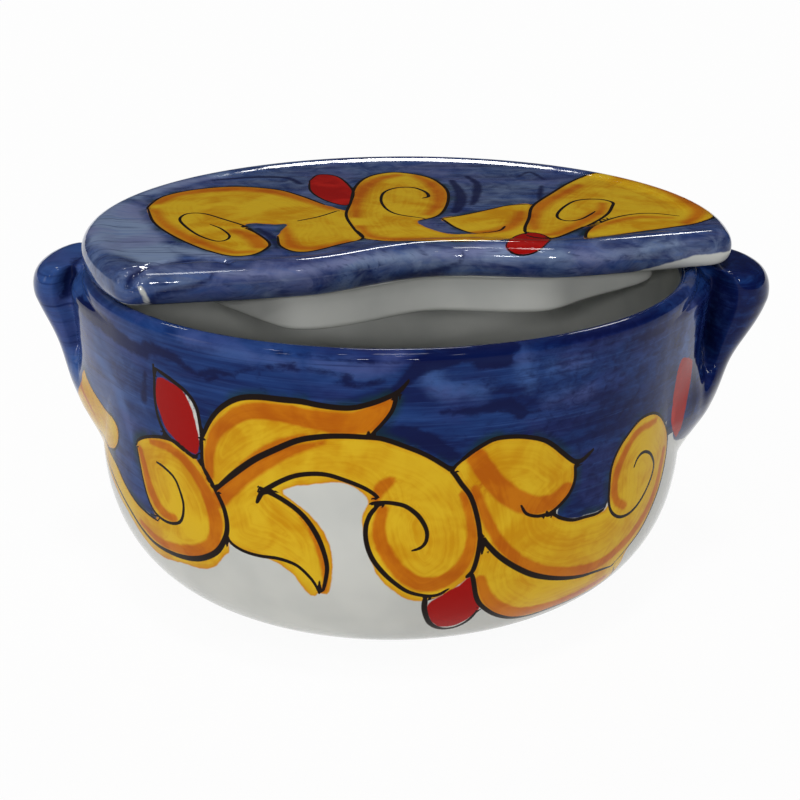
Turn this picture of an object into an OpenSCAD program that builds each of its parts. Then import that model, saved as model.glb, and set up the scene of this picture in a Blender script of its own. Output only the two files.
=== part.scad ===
// A glazed earthenware cheese pot: a round-bellied bowl on a flat foot, with an ear-shaped
// handle at each side and a loose half lid that covers the back of the mouth and leaves
// room for a spoon at the front.

/* [Pot] */
// Outer diameter of the bowl at its rim
rim_d = 150; // [140:1:165]
// Height of the rim above the table
pot_h = 80.5; // [74:0.5:90]
// Thickness of the wall and of the floor
wall = 4.5; // [3.5:0.5:6]
// How much the upright wall draws in, on the radius, from the rim down to the belly
wall_draw = 2.5; // [1:0.5:5]
// Height of the belly's curve as a share of the pot's height
belly_share = 0.47; // [0.4:0.01:0.56]
// Fullness of the belly's curve, where 2 is an ellipse
belly_power = 2.3; // [2:0.1:3]

/* [Foot] */
// Diameter of the flat foot
foot_d = 78; // [66:1:84]
// Height of the foot
foot_h = 1; // [0.6:0.2:3]

/* [Handles] */
// How far the left ear stands out from the wall
left_reach = 14.2; // [12:0.2:20]
// How far the right ear stands out from the wall
right_reach = 18.4; // [12:0.2:22]
// How far an ear runs down the wall
ear_drop = 46; // [42:1:56]
// Width of an ear, measured along the wall
ear_w = 28; // [20:1:34]
// Width of the pinched neck beside the wall as a share of the ear's width
ear_neck_share = 0.55; // [0.4:0.05:0.9]
// Room between the rim's level and the top of an ear
ear_below = 0.2; // [0.2:0.1:2]

/* [Lid] */
// How far the lid stands out past the rim all round
lid_over = 3.4; // [2:0.2:6]
// Thickness of the flat plate
plate_t = 7.4; // [5:0.2:9]
// Height of the rolled edge
roll_h = 8.6; // [6:0.2:11]
// Width of the rolled edge
roll_w = 4.4; // [3:0.2:6]
// Distance from the lid's centre to the front edge at its middle
front_mid = 25; // [15:1:35]
// How much further the two lobes of the front edge stand out
front_wave = 8; // [2:0.5:12]
// Distance from the middle of the front edge to each lobe
lobe_x = 33; // [25:1:40]
// How far the front edge falls back from a lobe to its corner
corner_fall = 2; // [0:0.5:4]
// Turn of the lid on the rim
lid_turn = 15.5; // [-30:0.5:30]
// Sideways place of the lid on the rim
lid_shift = 3.9; // [0:0.1:5]
// Gap between the lid and the rim that it rests on
lid_seat = 0.3; // [0.2:0.1:0.5]

/* [Flange] */
// How far the flange hangs down into the mouth
flange_h = 9; // [5:0.5:14]
// Thickness of the flange
flange_t = 4; // [3:0.5:6]
// Least room between the flange and the bowl's wall
flange_room = 3; // [2:0.5:8]
// Distance from the lid's centre to the slant that cuts the flange's left front corner
left_slant = 44; // [40:1:60]
// Distance from the lid's centre to the slanted end of the flange's right lobe
lobe_end = 41; // [38:1:60]
// Distance from the lid's centre to the run of the flange that lies back beside that lobe
right_run = 33; // [30:1:60]

/* [Hidden] */
$fn = 128;
glaze_blue = [0.2, 0.29, 0.5];
glaze_white = [0.88, 0.88, 0.86];
bare_clay = [0.78, 0.7, 0.6];

rim_r = rim_d / 2;
lip_r = wall / 2;
belly_r = rim_r - wall_draw;
belly_z = foot_h + (pot_h - foot_h) * belly_share;
base_r = foot_d / 2 + 1;
floor_r = base_r - wall / 2;
floor_z = foot_h + wall;
curve_steps = 14;
lip_steps = 10;

ear_top = pot_h - ear_below;
ear_joint = 0.05;
ear_round_share = 0.18;
ear_square = 0.4;
ear_bulb_share = 0.5;
ear_top_share = 0.7;
ear_end_share = 0.5;
ear_fall_share = 0.9;
ear_fading_power = 1.1;
ear_fill_share = 1.7;
ear_root_share = 1.4;
ear_steps = 12;
ear_neck_stops = [0.3, 0.65];

lid_r = rim_r + lid_over;
plate_r = lid_r - roll_w;
front_far = front_mid + front_wave;
front_steps = 48;
roll_steps = 10;
flange_r = rim_r - wall - flange_room - lid_shift;
flange_points = 96;
flange_softness = 14;
left_turn = -63;
lobe_turn = 51;
run_turn = 22;
flat_sine = 0.05;
spill = 1;

// Belly curve from the upright wall (0 degrees) to the base (90 degrees)
function belly_point(top_r, low_r, low_z, a) = [
    low_r + (top_r - low_r) * pow(cos(a), 2 / belly_power),
    belly_z - (belly_z - low_z) * pow(sin(a), 2 / belly_power)
];

function belly_curve(top_r, low_r, low_z) = [
    for (i = [0 : curve_steps]) belly_point(top_r, low_r, low_z, 90 * i / curve_steps)
];

// Radius of the bowl's outer face at a height
function wall_r(z) = z >= belly_z
    ? belly_r + wall_draw * min(1, (z - belly_z) / (pot_h - lip_r - belly_z))
    : base_r + (belly_r - base_r)
        * pow(1 - pow((belly_z - z) / (belly_z - foot_h), belly_power), 1 / belly_power);

// Distance of the lid's front edge from its centre line, at a place across it
function front_y(x) = abs(x) <= lobe_x
    ? front_mid + front_wave * (1 - cos(180 * abs(x) / lobe_x)) / 2
    : front_far - corner_fall * (1 - cos(180 * min(1, (abs(x) - lobe_x) / (lid_r - lobe_x)))) / 2;

function reversed(list) = [for (i = [len(list) - 1 : -1 : 0]) list[i]];

// Solid through a row of closed rings that all have the same number of points
module loft(rings) {
    count = len(rings[0]);
    last = len(rings) - 1;
    points = [for (ring = rings) each ring];
    sides = [
        for (i = [0 : last - 1], j = [0 : count - 1])
            let (a = i * count + j, b = i * count + (j + 1) % count)
                each [[a, b, b + count], [a, b + count, a + count]]
    ];
    start_cap = [for (j = [count - 1 : -1 : 0]) j];
    end_cap = [for (j = [0 : count - 1]) last * count + j];
    polyhedron(points, concat(sides, [start_cap, end_cap]), convexity = 6);
}

// Outer face of the bowl from the middle of its base up to the lip
function outer_line() = concat(
    [[0, foot_h]],
    reversed(belly_curve(belly_r, base_r, foot_h)),
    [[rim_r, pot_h - lip_r]]
);

module bowl() {
    lip = [
        for (i = [1 : lip_steps - 1])
            let (a = 180 * i / lip_steps)
                [rim_r - lip_r + lip_r * cos(a), pot_h - lip_r + lip_r * sin(a)]
    ];
    inner = concat(
        [[rim_r - wall, pot_h - lip_r]],
        belly_curve(belly_r - wall, floor_r, floor_z),
        [[0, floor_z]]
    );
    color(glaze_blue)
        rotate_extrude()
            polygon(concat(outer_line(), lip, inner));
}

module foot() {
    color(bare_clay)
        cylinder(d = foot_d, h = foot_h);
}

// Level ring of an ear: out along the neck, round the bulb, and back along the wall
function ear_ring(z, reach, half_w, neck) =
    let (
        r = wall_r(z) + ear_joint,
        out = concat(
            [
                for (k = ear_neck_stops)
                    [reach * ear_bulb_share * k, neck + (1 - neck) * k * k * (3 - 2 * k)]
            ],
            [
                for (a = [0 : 18 : 72])
                    [reach * (ear_bulb_share + (1 - ear_bulb_share) * sin(a)), cos(a)]
            ]
        )
    )
    concat(
        [for (p = out) [r + p[0], -p[1] * half_w, z]],
        [[r + reach, 0, z]],
        [for (p = reversed(out)) [r + p[0], p[1] * half_w, z]],
        [
            for (k = [1 : -0.5 : -1])
                let (y = k * neck * half_w)
                    [sqrt(r * r - y * y), y, z]
        ]
    );

// An ear on the +X side, rounded over at the top and fading into the wall below
module ear(reach) {
    rounding = [
        for (a = [6 : 14 : 90])
            let (full = pow(sin(a), ear_square))
                [
                    ear_round_share * (1 - cos(a)),
                    full,
                    ear_top_share + (1 - ear_top_share) * full,
                    ear_neck_share
                ]
    ];
    fading = [
        for (i = [1 : ear_steps])
            let (u = i / ear_steps)
                [
                    ear_round_share + (1 - ear_round_share) * u,
                    1 - ear_fall_share * pow(u, ear_fading_power),
                    1 - (1 - ear_end_share) * u,
                    ear_neck_share + (ear_root_share - ear_neck_share) * min(1, ear_fill_share * u)
                ]
    ];
    rings = [
        for (s = concat(rounding, fading))
            ear_ring(ear_top - ear_drop * s[0], reach * s[1], ear_w / 2 * s[2], s[3])
    ];
    loft(rings);
}

module left_handle() {
    color(glaze_blue)
        mirror([1, 0, 0]) ear(left_reach);
}

module right_handle() {
    color(glaze_blue)
        ear(right_reach);
}

// Puts a piece of the lid where the lid lies on the rim
module on_rim() {
    translate([lid_shift, 0, pot_h + lid_seat])
        rotate(lid_turn)
            children();
}

// Upright block of the space behind the front edge, drawn back from it by an inset
module behind_front(inset, h) {
    reach = lid_r + spill;
    edge = [
        for (i = [0 : front_steps])
            let (x = reach * (2 * i / front_steps - 1))
                [x, inset - front_y(x)]
    ];
    linear_extrude(h)
        polygon(concat(edge, [[reach, reach], [-reach, reach]]));
}

module lid_plate() {
    color(glaze_blue)
        on_rim()
            intersection() {
                cylinder(r = plate_r, h = plate_t);
                behind_front(roll_w, plate_t);
            }
}

// Half-round section of the rolled edge, standing out from 0
roll_section = [
    for (i = [0 : roll_steps])
        let (a = 180 * i / roll_steps - 90)
            [roll_w * cos(a), roll_h / 2 * (1 + sin(a))]
];

module lid_rim_roll() {
    color(glaze_blue)
        on_rim()
            intersection() {
                rotate_extrude()
                    polygon([for (p = roll_section) [plate_r + p[0], p[1]]]);
                behind_front(0, roll_h);
            }
}

module lid_front_roll() {
    rings = [
        for (i = [0 : front_steps])
            let (x = lid_r * (2 * i / front_steps - 1))
                [for (p = roll_section) [x, roll_w - front_y(x) - p[0], p[1]]]
    ];
    color(glaze_blue)
        on_rim()
            intersection() {
                loft(rings);
                cylinder(r = plate_r, h = roll_h);
            }
}

// Distance from the lid's centre, in the direction a, to a line that lies across the direction
// of turn, which is counted from the front
function cut_r(a, turn, distance) = distance / max(sin(turn - a), flat_sine);

// Plan outline of the flange, drawn in by an inset: a circle cut by the front edge, by a slant at
// the left corner and by a lobe with a run beside it at the right, with soft meetings
function flange_outline(inset) = [
    for (i = [0 : flange_points - 1])
        let (
            a = 360 * i / flange_points,
            k = -sin(a),
            x = k > flat_sine ? (front_mid + front_wave / 2) * cos(a) / k : lid_r,
            front = k > flat_sine ? pow((front_y(x) - roll_w - inset) / k, -flange_softness) : 0,
            left = pow(cut_r(a, left_turn, left_slant - inset), -flange_softness),
            lobe = pow(cut_r(a, lobe_turn, lobe_end - inset), flange_softness),
            run = pow(cut_r(a, run_turn, right_run - inset), flange_softness),
            ring = pow(flange_r - inset, -flange_softness),
            r = pow(ring + front + left + 1 / (lobe + run), -1 / flange_softness)
        )
        [r * cos(a), r * sin(a)]
];

module lid_flange() {
    color(glaze_white)
        on_rim()
            translate([0, 0, -flange_h])
                difference() {
                    linear_extrude(flange_h)
                        polygon(flange_outline(0));
                    translate([0, 0, -spill])
                        linear_extrude(flange_h + 2 * spill)
                            polygon(flange_outline(flange_t));
                }
}

bowl();
foot();
left_handle();
right_handle();
lid_plate();
lid_rim_roll();
lid_front_roll();
lid_flange();
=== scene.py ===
import math

import bmesh
import bpy
import numpy as np
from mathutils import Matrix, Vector


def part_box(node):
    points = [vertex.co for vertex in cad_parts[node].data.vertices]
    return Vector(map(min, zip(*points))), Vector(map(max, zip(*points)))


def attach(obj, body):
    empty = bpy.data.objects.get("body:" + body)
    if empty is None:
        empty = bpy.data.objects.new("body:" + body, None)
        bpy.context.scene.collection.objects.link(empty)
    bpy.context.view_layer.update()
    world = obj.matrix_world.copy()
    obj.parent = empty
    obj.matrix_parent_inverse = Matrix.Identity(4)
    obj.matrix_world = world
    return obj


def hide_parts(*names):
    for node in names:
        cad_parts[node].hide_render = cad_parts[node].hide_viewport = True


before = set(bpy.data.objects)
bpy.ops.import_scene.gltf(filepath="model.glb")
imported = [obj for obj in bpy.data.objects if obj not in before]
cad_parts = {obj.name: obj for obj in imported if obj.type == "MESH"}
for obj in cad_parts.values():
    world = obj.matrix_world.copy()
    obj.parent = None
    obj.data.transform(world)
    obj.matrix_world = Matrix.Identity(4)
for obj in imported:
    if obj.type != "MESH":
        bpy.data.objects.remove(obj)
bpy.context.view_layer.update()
scene = bpy.context.scene
scene.view_settings.view_transform = "Standard"
mm = 0.001
print("frame loaded,", len(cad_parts), "nodes")


# camera at the photograph's height and angle, a little to the right of the front

viewer = {"place": (0.0122, -0.3812, 0.1845), "tilt": 69.56, "swing": 1.5, "lens": 72.0, "sensor": 36.0}

cameraData = bpy.data.cameras.new("viewer")
cameraData.lens = viewer["lens"]
cameraData.sensor_width = viewer["sensor"]
camera = bpy.data.objects.new("viewer", cameraData)
camera.location = viewer["place"]
camera.rotation_euler = (math.radians(viewer["tilt"]), 0, math.radians(viewer["swing"]))
scene.collection.objects.link(camera)
scene.camera = camera
print("camera set")


# node helpers, used by the materials and by the geometry tree

def addNode(tree, kind, inputs=None, **settings):
    made = tree.nodes.new(kind)
    for key, value in settings.items():
        setattr(made, key, value)
    for key, value in (inputs or {}).items():
        if isinstance(value, bpy.types.NodeSocket):
            tree.links.new(value, made.inputs[key])
        else:
            made.inputs[key].default_value = value
    return made


def maths(tree, operation, a, b=0.0, c=0.0):
    return addNode(tree, "ShaderNodeMath", {0: a, 1: b, 2: c}, operation=operation).outputs[0]


def fade(tree, value, low, high):
    # 0 at low, 1 at high, smooth between
    made = addNode(tree, "ShaderNodeMapRange", {"Value": value, "From Min": low, "From Max": high},
                   interpolation_type="SMOOTHSTEP")
    return made.outputs["Result"]


def blendColour(tree, factor, a, b):
    made = addNode(tree, "ShaderNodeMix", {0: factor, 6: a, 7: b}, data_type="RGBA")
    return made.outputs[2]


def layered(tree, share, amount, below, above):
    # a layer that covers the one below by a share, times an amount
    return blendColour(tree, maths(tree, "MULTIPLY", share, amount), below, above)


def noiseAt(tree, vector, scale, detail=2.0, rough=0.5, twist=0.0):
    made = addNode(tree, "ShaderNodeTexNoise", {
        "Vector": vector, "Scale": scale, "Detail": detail, "Roughness": rough, "Distortion": twist})
    return made.outputs["Fac"]


def stretched(tree, vector, size, turn=0.0):
    made = addNode(tree, "ShaderNodeMapping",
                   {"Vector": vector, "Scale": size, "Rotation": (0, 0, math.radians(turn))})
    return made.outputs["Vector"]


def painted(tree, name):
    return addNode(tree, "ShaderNodeAttribute", attribute_name=name).outputs["Fac"]


def colour(red, green, blue):
    # a colour as a screen shows it, 0 to 255, made linear
    def linear(c):
        c = c / 255
        return c / 12.92 if c <= 0.04045 else ((c + 0.055) / 1.055) ** 2.4
    return (linear(red), linear(green), linear(blue), 1.0)


def startMaterial(name):
    made = bpy.data.materials.new(name)
    made.use_nodes = True
    tree = made.node_tree
    shader = tree.nodes["Principled BSDF"]
    place = addNode(tree, "ShaderNodeTexCoord").outputs["Object"]
    return made, tree, shader, place


glaze = {
    "white": colour(212, 213, 208),
    "whiteShade": colour(198, 200, 196),
    "blue": colour(28, 57, 116),
    "deepBlue": colour(14, 29, 82),
    "paleBlue": colour(56, 88, 152),
    "violet": colour(58, 66, 128),
    "navy": colour(10, 18, 66),
    "green": colour(22, 52, 48),
    "yellow": colour(226, 184, 34),
    "warmYellow": colour(208, 146, 6),
    "orange": colour(202, 108, 4),
    "deepOrange": colour(184, 86, 0),
    "red": colour(162, 6, 2),
    "brightRed": colour(192, 26, 16),
    "ink": colour(26, 15, 11),
    "roughLow": 0.04,
    "roughHigh": 0.08,
    "rippleStrength": 0.1,
    "rippleDepth": 1 * mm,
    "shine": {"bowl": 0.07, "lid": 0.2, "ear": 0.1},
}
clay = {"pale": colour(196, 172, 142), "dark": colour(168, 138, 108), "rough": 0.85,
        "bumpStrength": 0.3, "bumpDepth": 0.4 * mm}
# how fine each mottling is, in noise cells to the metre
grain = {"uneven": 70.0, "ripple": 140.0, "ground": 40.0, "cast": 46.0, "wet": 150.0, "dry": 330.0,
         "wobble": 420.0, "seep": 150.0, "along": 160.0, "patch": 95.0, "clay": 900.0}
# how strongly each layer covers the one below
cover = {"pale": 0.4, "violet": 0.3, "thin": 0.8, "paleStreak": 0.45, "deepStreak": 0.65, "pool": 0.88,
         "green": 0.75, "orangeEdge": 0.5, "orange": 0.9}
# broad and fine: noise cells to the metre along x, y and z of the brush strokes and of the streaks in
# them; turn: the way that they run, in degrees;
# ragged and soft: how uneven dark strokes and how soft orange ones are at the edge, in mm;
# thin: the two tints of a thin wash
brushes = {
    "wall": {"broad": (34, 34, 230), "fine": (20, 20, 1300), "turn": 0.0, "ragged": 1.2, "soft": 0.5,
             "thin": (colour(68, 100, 162), colour(76, 90, 148))},
    "lid": {"broad": (26, 120, 90), "fine": (50, 800, 600), "turn": -15.5, "ragged": 0.45, "soft": 1.7,
            "thin": (colour(146, 166, 198), colour(134, 142, 182))},
}


def glossyFinish(tree, shader, place, paint, shine):
    # the clear fired glaze over everything: low, slightly uneven roughness and a faint ripple
    tree.links.new(paint, shader.inputs["Base Color"])
    uneven = noiseAt(tree, place, grain["uneven"], 3.0)
    made = addNode(tree, "ShaderNodeMapRange",
                   {"Value": uneven, "To Min": glaze["roughLow"], "To Max": glaze["roughHigh"]})
    tree.links.new(made.outputs["Result"], shader.inputs["Roughness"])
    ripple = noiseAt(tree, place, grain["ripple"], 2.0)
    bump = addNode(tree, "ShaderNodeBump", {"Height": ripple, "Strength": glaze["rippleStrength"],
                                            "Distance": glaze["rippleDepth"]})
    tree.links.new(bump.outputs["Normal"], shader.inputs["Normal"])
    shader.inputs["Specular IOR Level"].default_value = shine


def whiteGround(tree, place):
    patch = noiseAt(tree, place, grain["ground"], 3.0)
    return blendColour(tree, fade(tree, patch, 0.35, 0.7), glaze["white"], glaze["whiteShade"])


def brushedBlue(tree, place, brush):
    # blue pigment laid on by brush: long strokes with fine streaks, thin washes and dark pools
    stroke = noiseAt(tree, stretched(tree, place, brush["broad"], brush["turn"]), 1.0, 4.0, 0.6, 0.4)
    streak = noiseAt(tree, stretched(tree, place, brush["fine"], brush["turn"]), 1.0, 3.0, 0.6, 0.3)
    cast = noiseAt(tree, stretched(tree, place, (1, 1, 2.2)), grain["cast"], 3.0, 0.5, 0.5)
    body = blendColour(tree, fade(tree, stroke, 0.36, 0.6), glaze["deepBlue"], glaze["blue"])
    body = layered(tree, fade(tree, stroke, 0.54, 0.74), cover["pale"], body, glaze["paleBlue"])
    body = layered(tree, fade(tree, cast, 0.48, 0.68), cover["violet"], body, glaze["violet"])

    wet = noiseAt(tree, stretched(tree, place, (1, 1, 1.6)), grain["wet"], 4.0, 0.6, 0.8)
    soft = maths(tree, "MULTIPLY_ADD", wet, 5.0, -2.5)
    thin = fade(tree, maths(tree, "ADD", painted(tree, "pale"), soft), -2.4, 2.4)
    wash = blendColour(tree, fade(tree, cast, 0.4, 0.62), *brush["thin"])
    body = layered(tree, thin, cover["thin"], body, wash)
    body = layered(tree, fade(tree, streak, 0.52, 0.76), cover["paleStreak"], body, glaze["paleBlue"])
    body = layered(tree, fade(tree, streak, 0.48, 0.25), cover["deepStreak"], body, glaze["deepBlue"])

    dry = noiseAt(tree, stretched(tree, place, (1, 1, 1.8)), grain["dry"], 4.0, 0.6, 0.6)
    torn = maths(tree, "MULTIPLY_ADD", dry, 2 * brush["ragged"], -brush["ragged"])
    pooled = fade(tree, maths(tree, "ADD", painted(tree, "dark"), torn), -0.5, 0.7)
    return layered(tree, pooled, cover["pool"], body, glaze["navy"])


def scrollPaint(tree, place, blue, soft):
    # the painter's layers in their order: white ground, blue, yellow, orange, red, and the dark line
    wobble = maths(tree, "MULTIPLY_ADD", noiseAt(tree, place, grain["wobble"], 2.0), 0.7, -0.35)
    ground, yellow, orange, red = (maths(tree, "ADD", painted(tree, name), wobble)
                                   for name in ("ground", "yellow", "orange", "red"))

    spread = fade(tree, noiseAt(tree, place, grain["seep"]), 0.38, 0.66)
    seep = maths(tree, "MULTIPLY", fade(tree, yellow, -2.8, -0.2), spread)
    blue = layered(tree, seep, cover["green"], blue, glaze["green"])
    paint = blendColour(tree, fade(tree, ground, -0.25, 0.25), whiteGround(tree, place), blue)

    # brush marks that run along the edge of each yellow form
    inward = maths(tree, "MULTIPLY", yellow, 0.8)
    drift = noiseAt(tree, place, grain["along"], 2.0)
    along = addNode(tree, "ShaderNodeCombineXYZ", {0: inward, 1: drift, 2: 0.0}).outputs[0]
    brush = noiseAt(tree, along, 1.4, 3.0, 0.6)
    patch = noiseAt(tree, place, grain["patch"], 3.0, 0.6, 0.5)
    tone = maths(tree, "ADD", maths(tree, "MULTIPLY", brush, 0.3), maths(tree, "MULTIPLY", patch, 0.7))
    lemon = blendColour(tree, fade(tree, tone, 0.4, 0.66), glaze["yellow"], glaze["warmYellow"])
    lemon = layered(tree, fade(tree, yellow, 1.1, 0.0), cover["orangeEdge"], lemon, glaze["orange"])
    paint = blendColour(tree, fade(tree, yellow, -0.2, 0.2), paint, lemon)

    rust = blendColour(tree, fade(tree, tone, 0.4, 0.64), glaze["orange"], glaze["deepOrange"])
    laid = maths(tree, "MULTIPLY", fade(tree, orange, -soft, soft), fade(tree, yellow, -0.2, 0.2))
    paint = layered(tree, laid, cover["orange"], paint, rust)

    bud = blendColour(tree, fade(tree, patch, 0.5, 0.75), glaze["red"], glaze["brightRed"])
    paint = blendColour(tree, fade(tree, red, -0.2, 0.2), paint, bud)

    line = maths(tree, "ABSOLUTE", painted(tree, "inkAcross"))
    close = fade(tree, painted(tree, "inkGap"), 0.6, 0.35)
    mark = maths(tree, "MULTIPLY", fade(tree, line, 1.12, 0.85), close)
    return blendColour(tree, mark, paint, glaze["ink"])


def paintedGlaze(name, shine, brush):
    made, tree, shader, place = startMaterial(name)
    blue = brushedBlue(tree, place, brush)
    glossyFinish(tree, shader, place, scrollPaint(tree, place, blue, brush["soft"]), shine)
    return made


def plainGlaze():
    made, tree, shader, place = startMaterial("white_glaze")
    glossyFinish(tree, shader, place, whiteGround(tree, place), glaze["shine"]["bowl"])
    return made


def rawClay():
    made, tree, shader, place = startMaterial("bare_clay")
    speck = noiseAt(tree, place, grain["clay"], 4.0, 0.6)
    tint = blendColour(tree, fade(tree, speck, 0.35, 0.65), clay["pale"], clay["dark"])
    tree.links.new(tint, shader.inputs["Base Color"])
    shader.inputs["Roughness"].default_value = clay["rough"]
    bump = addNode(tree, "ShaderNodeBump", {"Height": speck, "Strength": clay["bumpStrength"],
                                            "Distance": clay["bumpDepth"]})
    tree.links.new(bump.outputs["Normal"], shader.inputs["Normal"])
    return made


materials = {
    "bowl": paintedGlaze("painted_bowl", glaze["shine"]["bowl"], brushes["wall"]),
    "lid": paintedGlaze("painted_lid", glaze["shine"]["lid"], brushes["lid"]),
    "ear": paintedGlaze("blue_glaze", glaze["shine"]["ear"], brushes["wall"]),
    "flange": plainGlaze(),
    "foot": rawClay(),
}
print("glazes mixed")


# curves and distances for the painting, all in millimetres

def throughPoints(points, closed=False, steps=8):
    # a smooth line through given points
    p = np.array(points, float)
    if closed:
        p = np.vstack([p[-1:], p, p[:2]])
    else:
        p = np.vstack([2 * p[:1] - p[1:2], p, 2 * p[-1:] - p[-2:-1]])
    t = np.linspace(0, 1, steps, endpoint=False)[:, None]
    line = []
    for a, b, c, d in zip(p[:-3], p[1:-2], p[2:-1], p[3:]):
        line.append(0.5 * (2 * b + (c - a) * t + (2 * a - 5 * b + 4 * c - d) * t ** 2
                           + (3 * b - a - 3 * c + d) * t ** 3))
    if not closed:
        line.append(p[-2:-1])
    return np.vstack(line)


def nearest(spots, line):
    # distance from each spot to a line, which side of it, and how far along it the nearest place lies
    a, b = line[:-1], line[1:]
    ab = b - a
    length2 = np.maximum((ab ** 2).sum(1), 1e-12)
    dx = spots[:, None, 0] - a[None, :, 0]
    dy = spots[:, None, 1] - a[None, :, 1]
    t = np.clip((dx * ab[:, 0] + dy * ab[:, 1]) / length2, 0, 1)
    gap2 = (dx - t * ab[:, 0]) ** 2 + (dy - t * ab[:, 1]) ** 2
    k = gap2.argmin(1)
    row = np.arange(len(spots))
    side = np.sign(ab[k, 0] * dy[row, k] - ab[k, 1] * dx[row, k])
    return np.sqrt(gap2[row, k]), np.where(side == 0, 1, side), (k + t[row, k]) / len(a)


def insideLoop(spots, loop):
    x, y = spots[:, 0], spots[:, 1]
    inside = np.zeros(len(spots), bool)
    for (x0, y0), (x1, y1) in zip(loop, np.roll(loop, -1, 0)):
        if y0 != y1:
            inside ^= ((y0 > y) != (y1 > y)) & (x < (x1 - x0) * (y - y0) / (y1 - y0) + x0)
    return inside


far = 12.0         # distances are only followed this far
inkEndCut = 3      # line ends are cut close by this factor
inkTaper = ((0, 0.06, 0.94, 1), (0.6, 1, 1, 0.6))    # share of a line's width, at shares of its length


def eased(k):
    # 0 to 1 with a soft start and end
    return k * k * (3 - 2 * k)


def closeBy(spots, line):
    low, high = line.min(0) - far, line.max(0) + far
    return np.flatnonzero(((spots > low) & (spots < high)).all(1))


def fillField(spots, loops):
    # positive inside any of the loops
    field = np.full(len(spots), -far)
    for points in loops:
        loop = throughPoints(points, closed=True)
        near = closeBy(spots, loop)
        gap = nearest(spots[near], np.vstack([loop, loop[:1]]))[0]
        signed = np.where(insideLoop(spots[near], loop), gap, -gap)
        field[near] = np.maximum(field[near], np.clip(signed, -far, far))
    return field


def brushField(spots, strokes):
    # positive inside any of the brush strokes, each with its half width at its start, middle and end
    field = np.full(len(spots), -far)
    for widths, points in strokes:
        line = throughPoints(points)
        near = closeBy(spots, line)
        gap, _, share = nearest(spots[near], line)
        half = np.interp(share, (0, 0.5, 1), widths)
        field[near] = np.maximum(field[near], np.clip(half - gap, -far, far))
    return field


def inkFields(spots, strokes):
    # across: signed place across the nearest line in half widths; gap: distance past its edge
    across = np.full(len(spots), far)
    past = np.full(len(spots), far)
    for widths, points in strokes:
        line = throughPoints(points)
        near = closeBy(spots, line)
        gap, side, share = nearest(spots[near], line)
        half = np.interp(share, (0, 0.5, 1), widths) * np.interp(share, *inkTaper)
        beyond = np.where((share <= 0) | (share >= 1), inkEndCut * gap, gap) - half
        better = beyond < past[near]
        chosen = near[better]
        past[chosen] = beyond[better]
        across[chosen] = np.clip(side * gap / half, -far, far)[better]
    return across, past


def keepFields(mesh, fields):
    for name, values in fields.items():
        mesh.attributes.new(name, "FLOAT", "POINT").data.foreach_set("value", np.asarray(values, np.float32))


# the bowl, turned on its axis from a profile

bowl = {
    "wall": 4.5 * mm,
    "wallDraw": 2.5 * mm,      # the wall draws in by this from the rim to the belly
    "drawPower": 1.4,
    "bellyShare": 0.47,
    "bellyPower": 2.3,
    "columns": 480,
    "paintStep": 0.75 * mm,    # row height where the wall is painted
    "plainStep": 1.9 * mm,     # row height elsewhere
    "paintDrop": 78 * mm,      # the painting ends this far down from the rim
    "lipRows": 12,
    "wallSteps": 200,          # of the lines that the rows are taken from
    "bellySteps": 400,
    "underRows": (0, 0.3, 0.6, 0.9),               # shares of the radius, out over the underside
    "floorRows": (0.95, 0.85, 0.7, 0.5, 0.25, 0),  # and in over the inside's floor
    "baseOver": 1 * mm,        # the base's radius is more than the foot's by this
}
bowlLow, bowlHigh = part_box("bowl")
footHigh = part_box("foot")[1]
bowl["rimRadius"] = bowlHigh.x
bowl["rimHeight"] = bowlHigh.z
bowl["underside"] = bowlLow.z
bowl["baseRadius"] = footHigh.x + bowl["baseOver"]
bowl["lip"] = bowl["wall"] / 2
bowl["bellyRadius"] = bowl["rimRadius"] - bowl["wallDraw"]
bowl["bellyHeight"] = bowl["underside"] + (bowl["rimHeight"] - bowl["underside"]) * bowl["bellyShare"]


def sideLine(topRadius, lowRadius, lowHeight, draw):
    # a side of the bowl from the lip's edge down the wall and round the belly, in fine steps
    top = bowl["rimHeight"] - bowl["lip"]
    t = np.linspace(1, 0, bowl["wallSteps"])
    wall = np.stack([topRadius + draw * t ** bowl["drawPower"],
                     bowl["bellyHeight"] + (top - bowl["bellyHeight"]) * t], 1)
    a = np.linspace(0, math.pi / 2, bowl["bellySteps"])[1:]
    power = 2 / bowl["bellyPower"]
    belly = np.stack([lowRadius + (topRadius - lowRadius) * np.abs(np.cos(a)) ** power,
                      bowl["bellyHeight"] - (bowl["bellyHeight"] - lowHeight) * np.sin(a) ** power], 1)
    return np.vstack([wall, belly])


def evenRows(line, stops):
    # points on a line at given distances from its start
    run = np.concatenate([[0], np.cumsum(np.hypot(*np.diff(line, axis=0).T))])
    stops = np.array([s for s in stops if s < run[-1]] + [run[-1]])
    return np.stack([np.interp(stops, run, line[:, 0]), np.interp(stops, run, line[:, 1])], 1), stops


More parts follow.
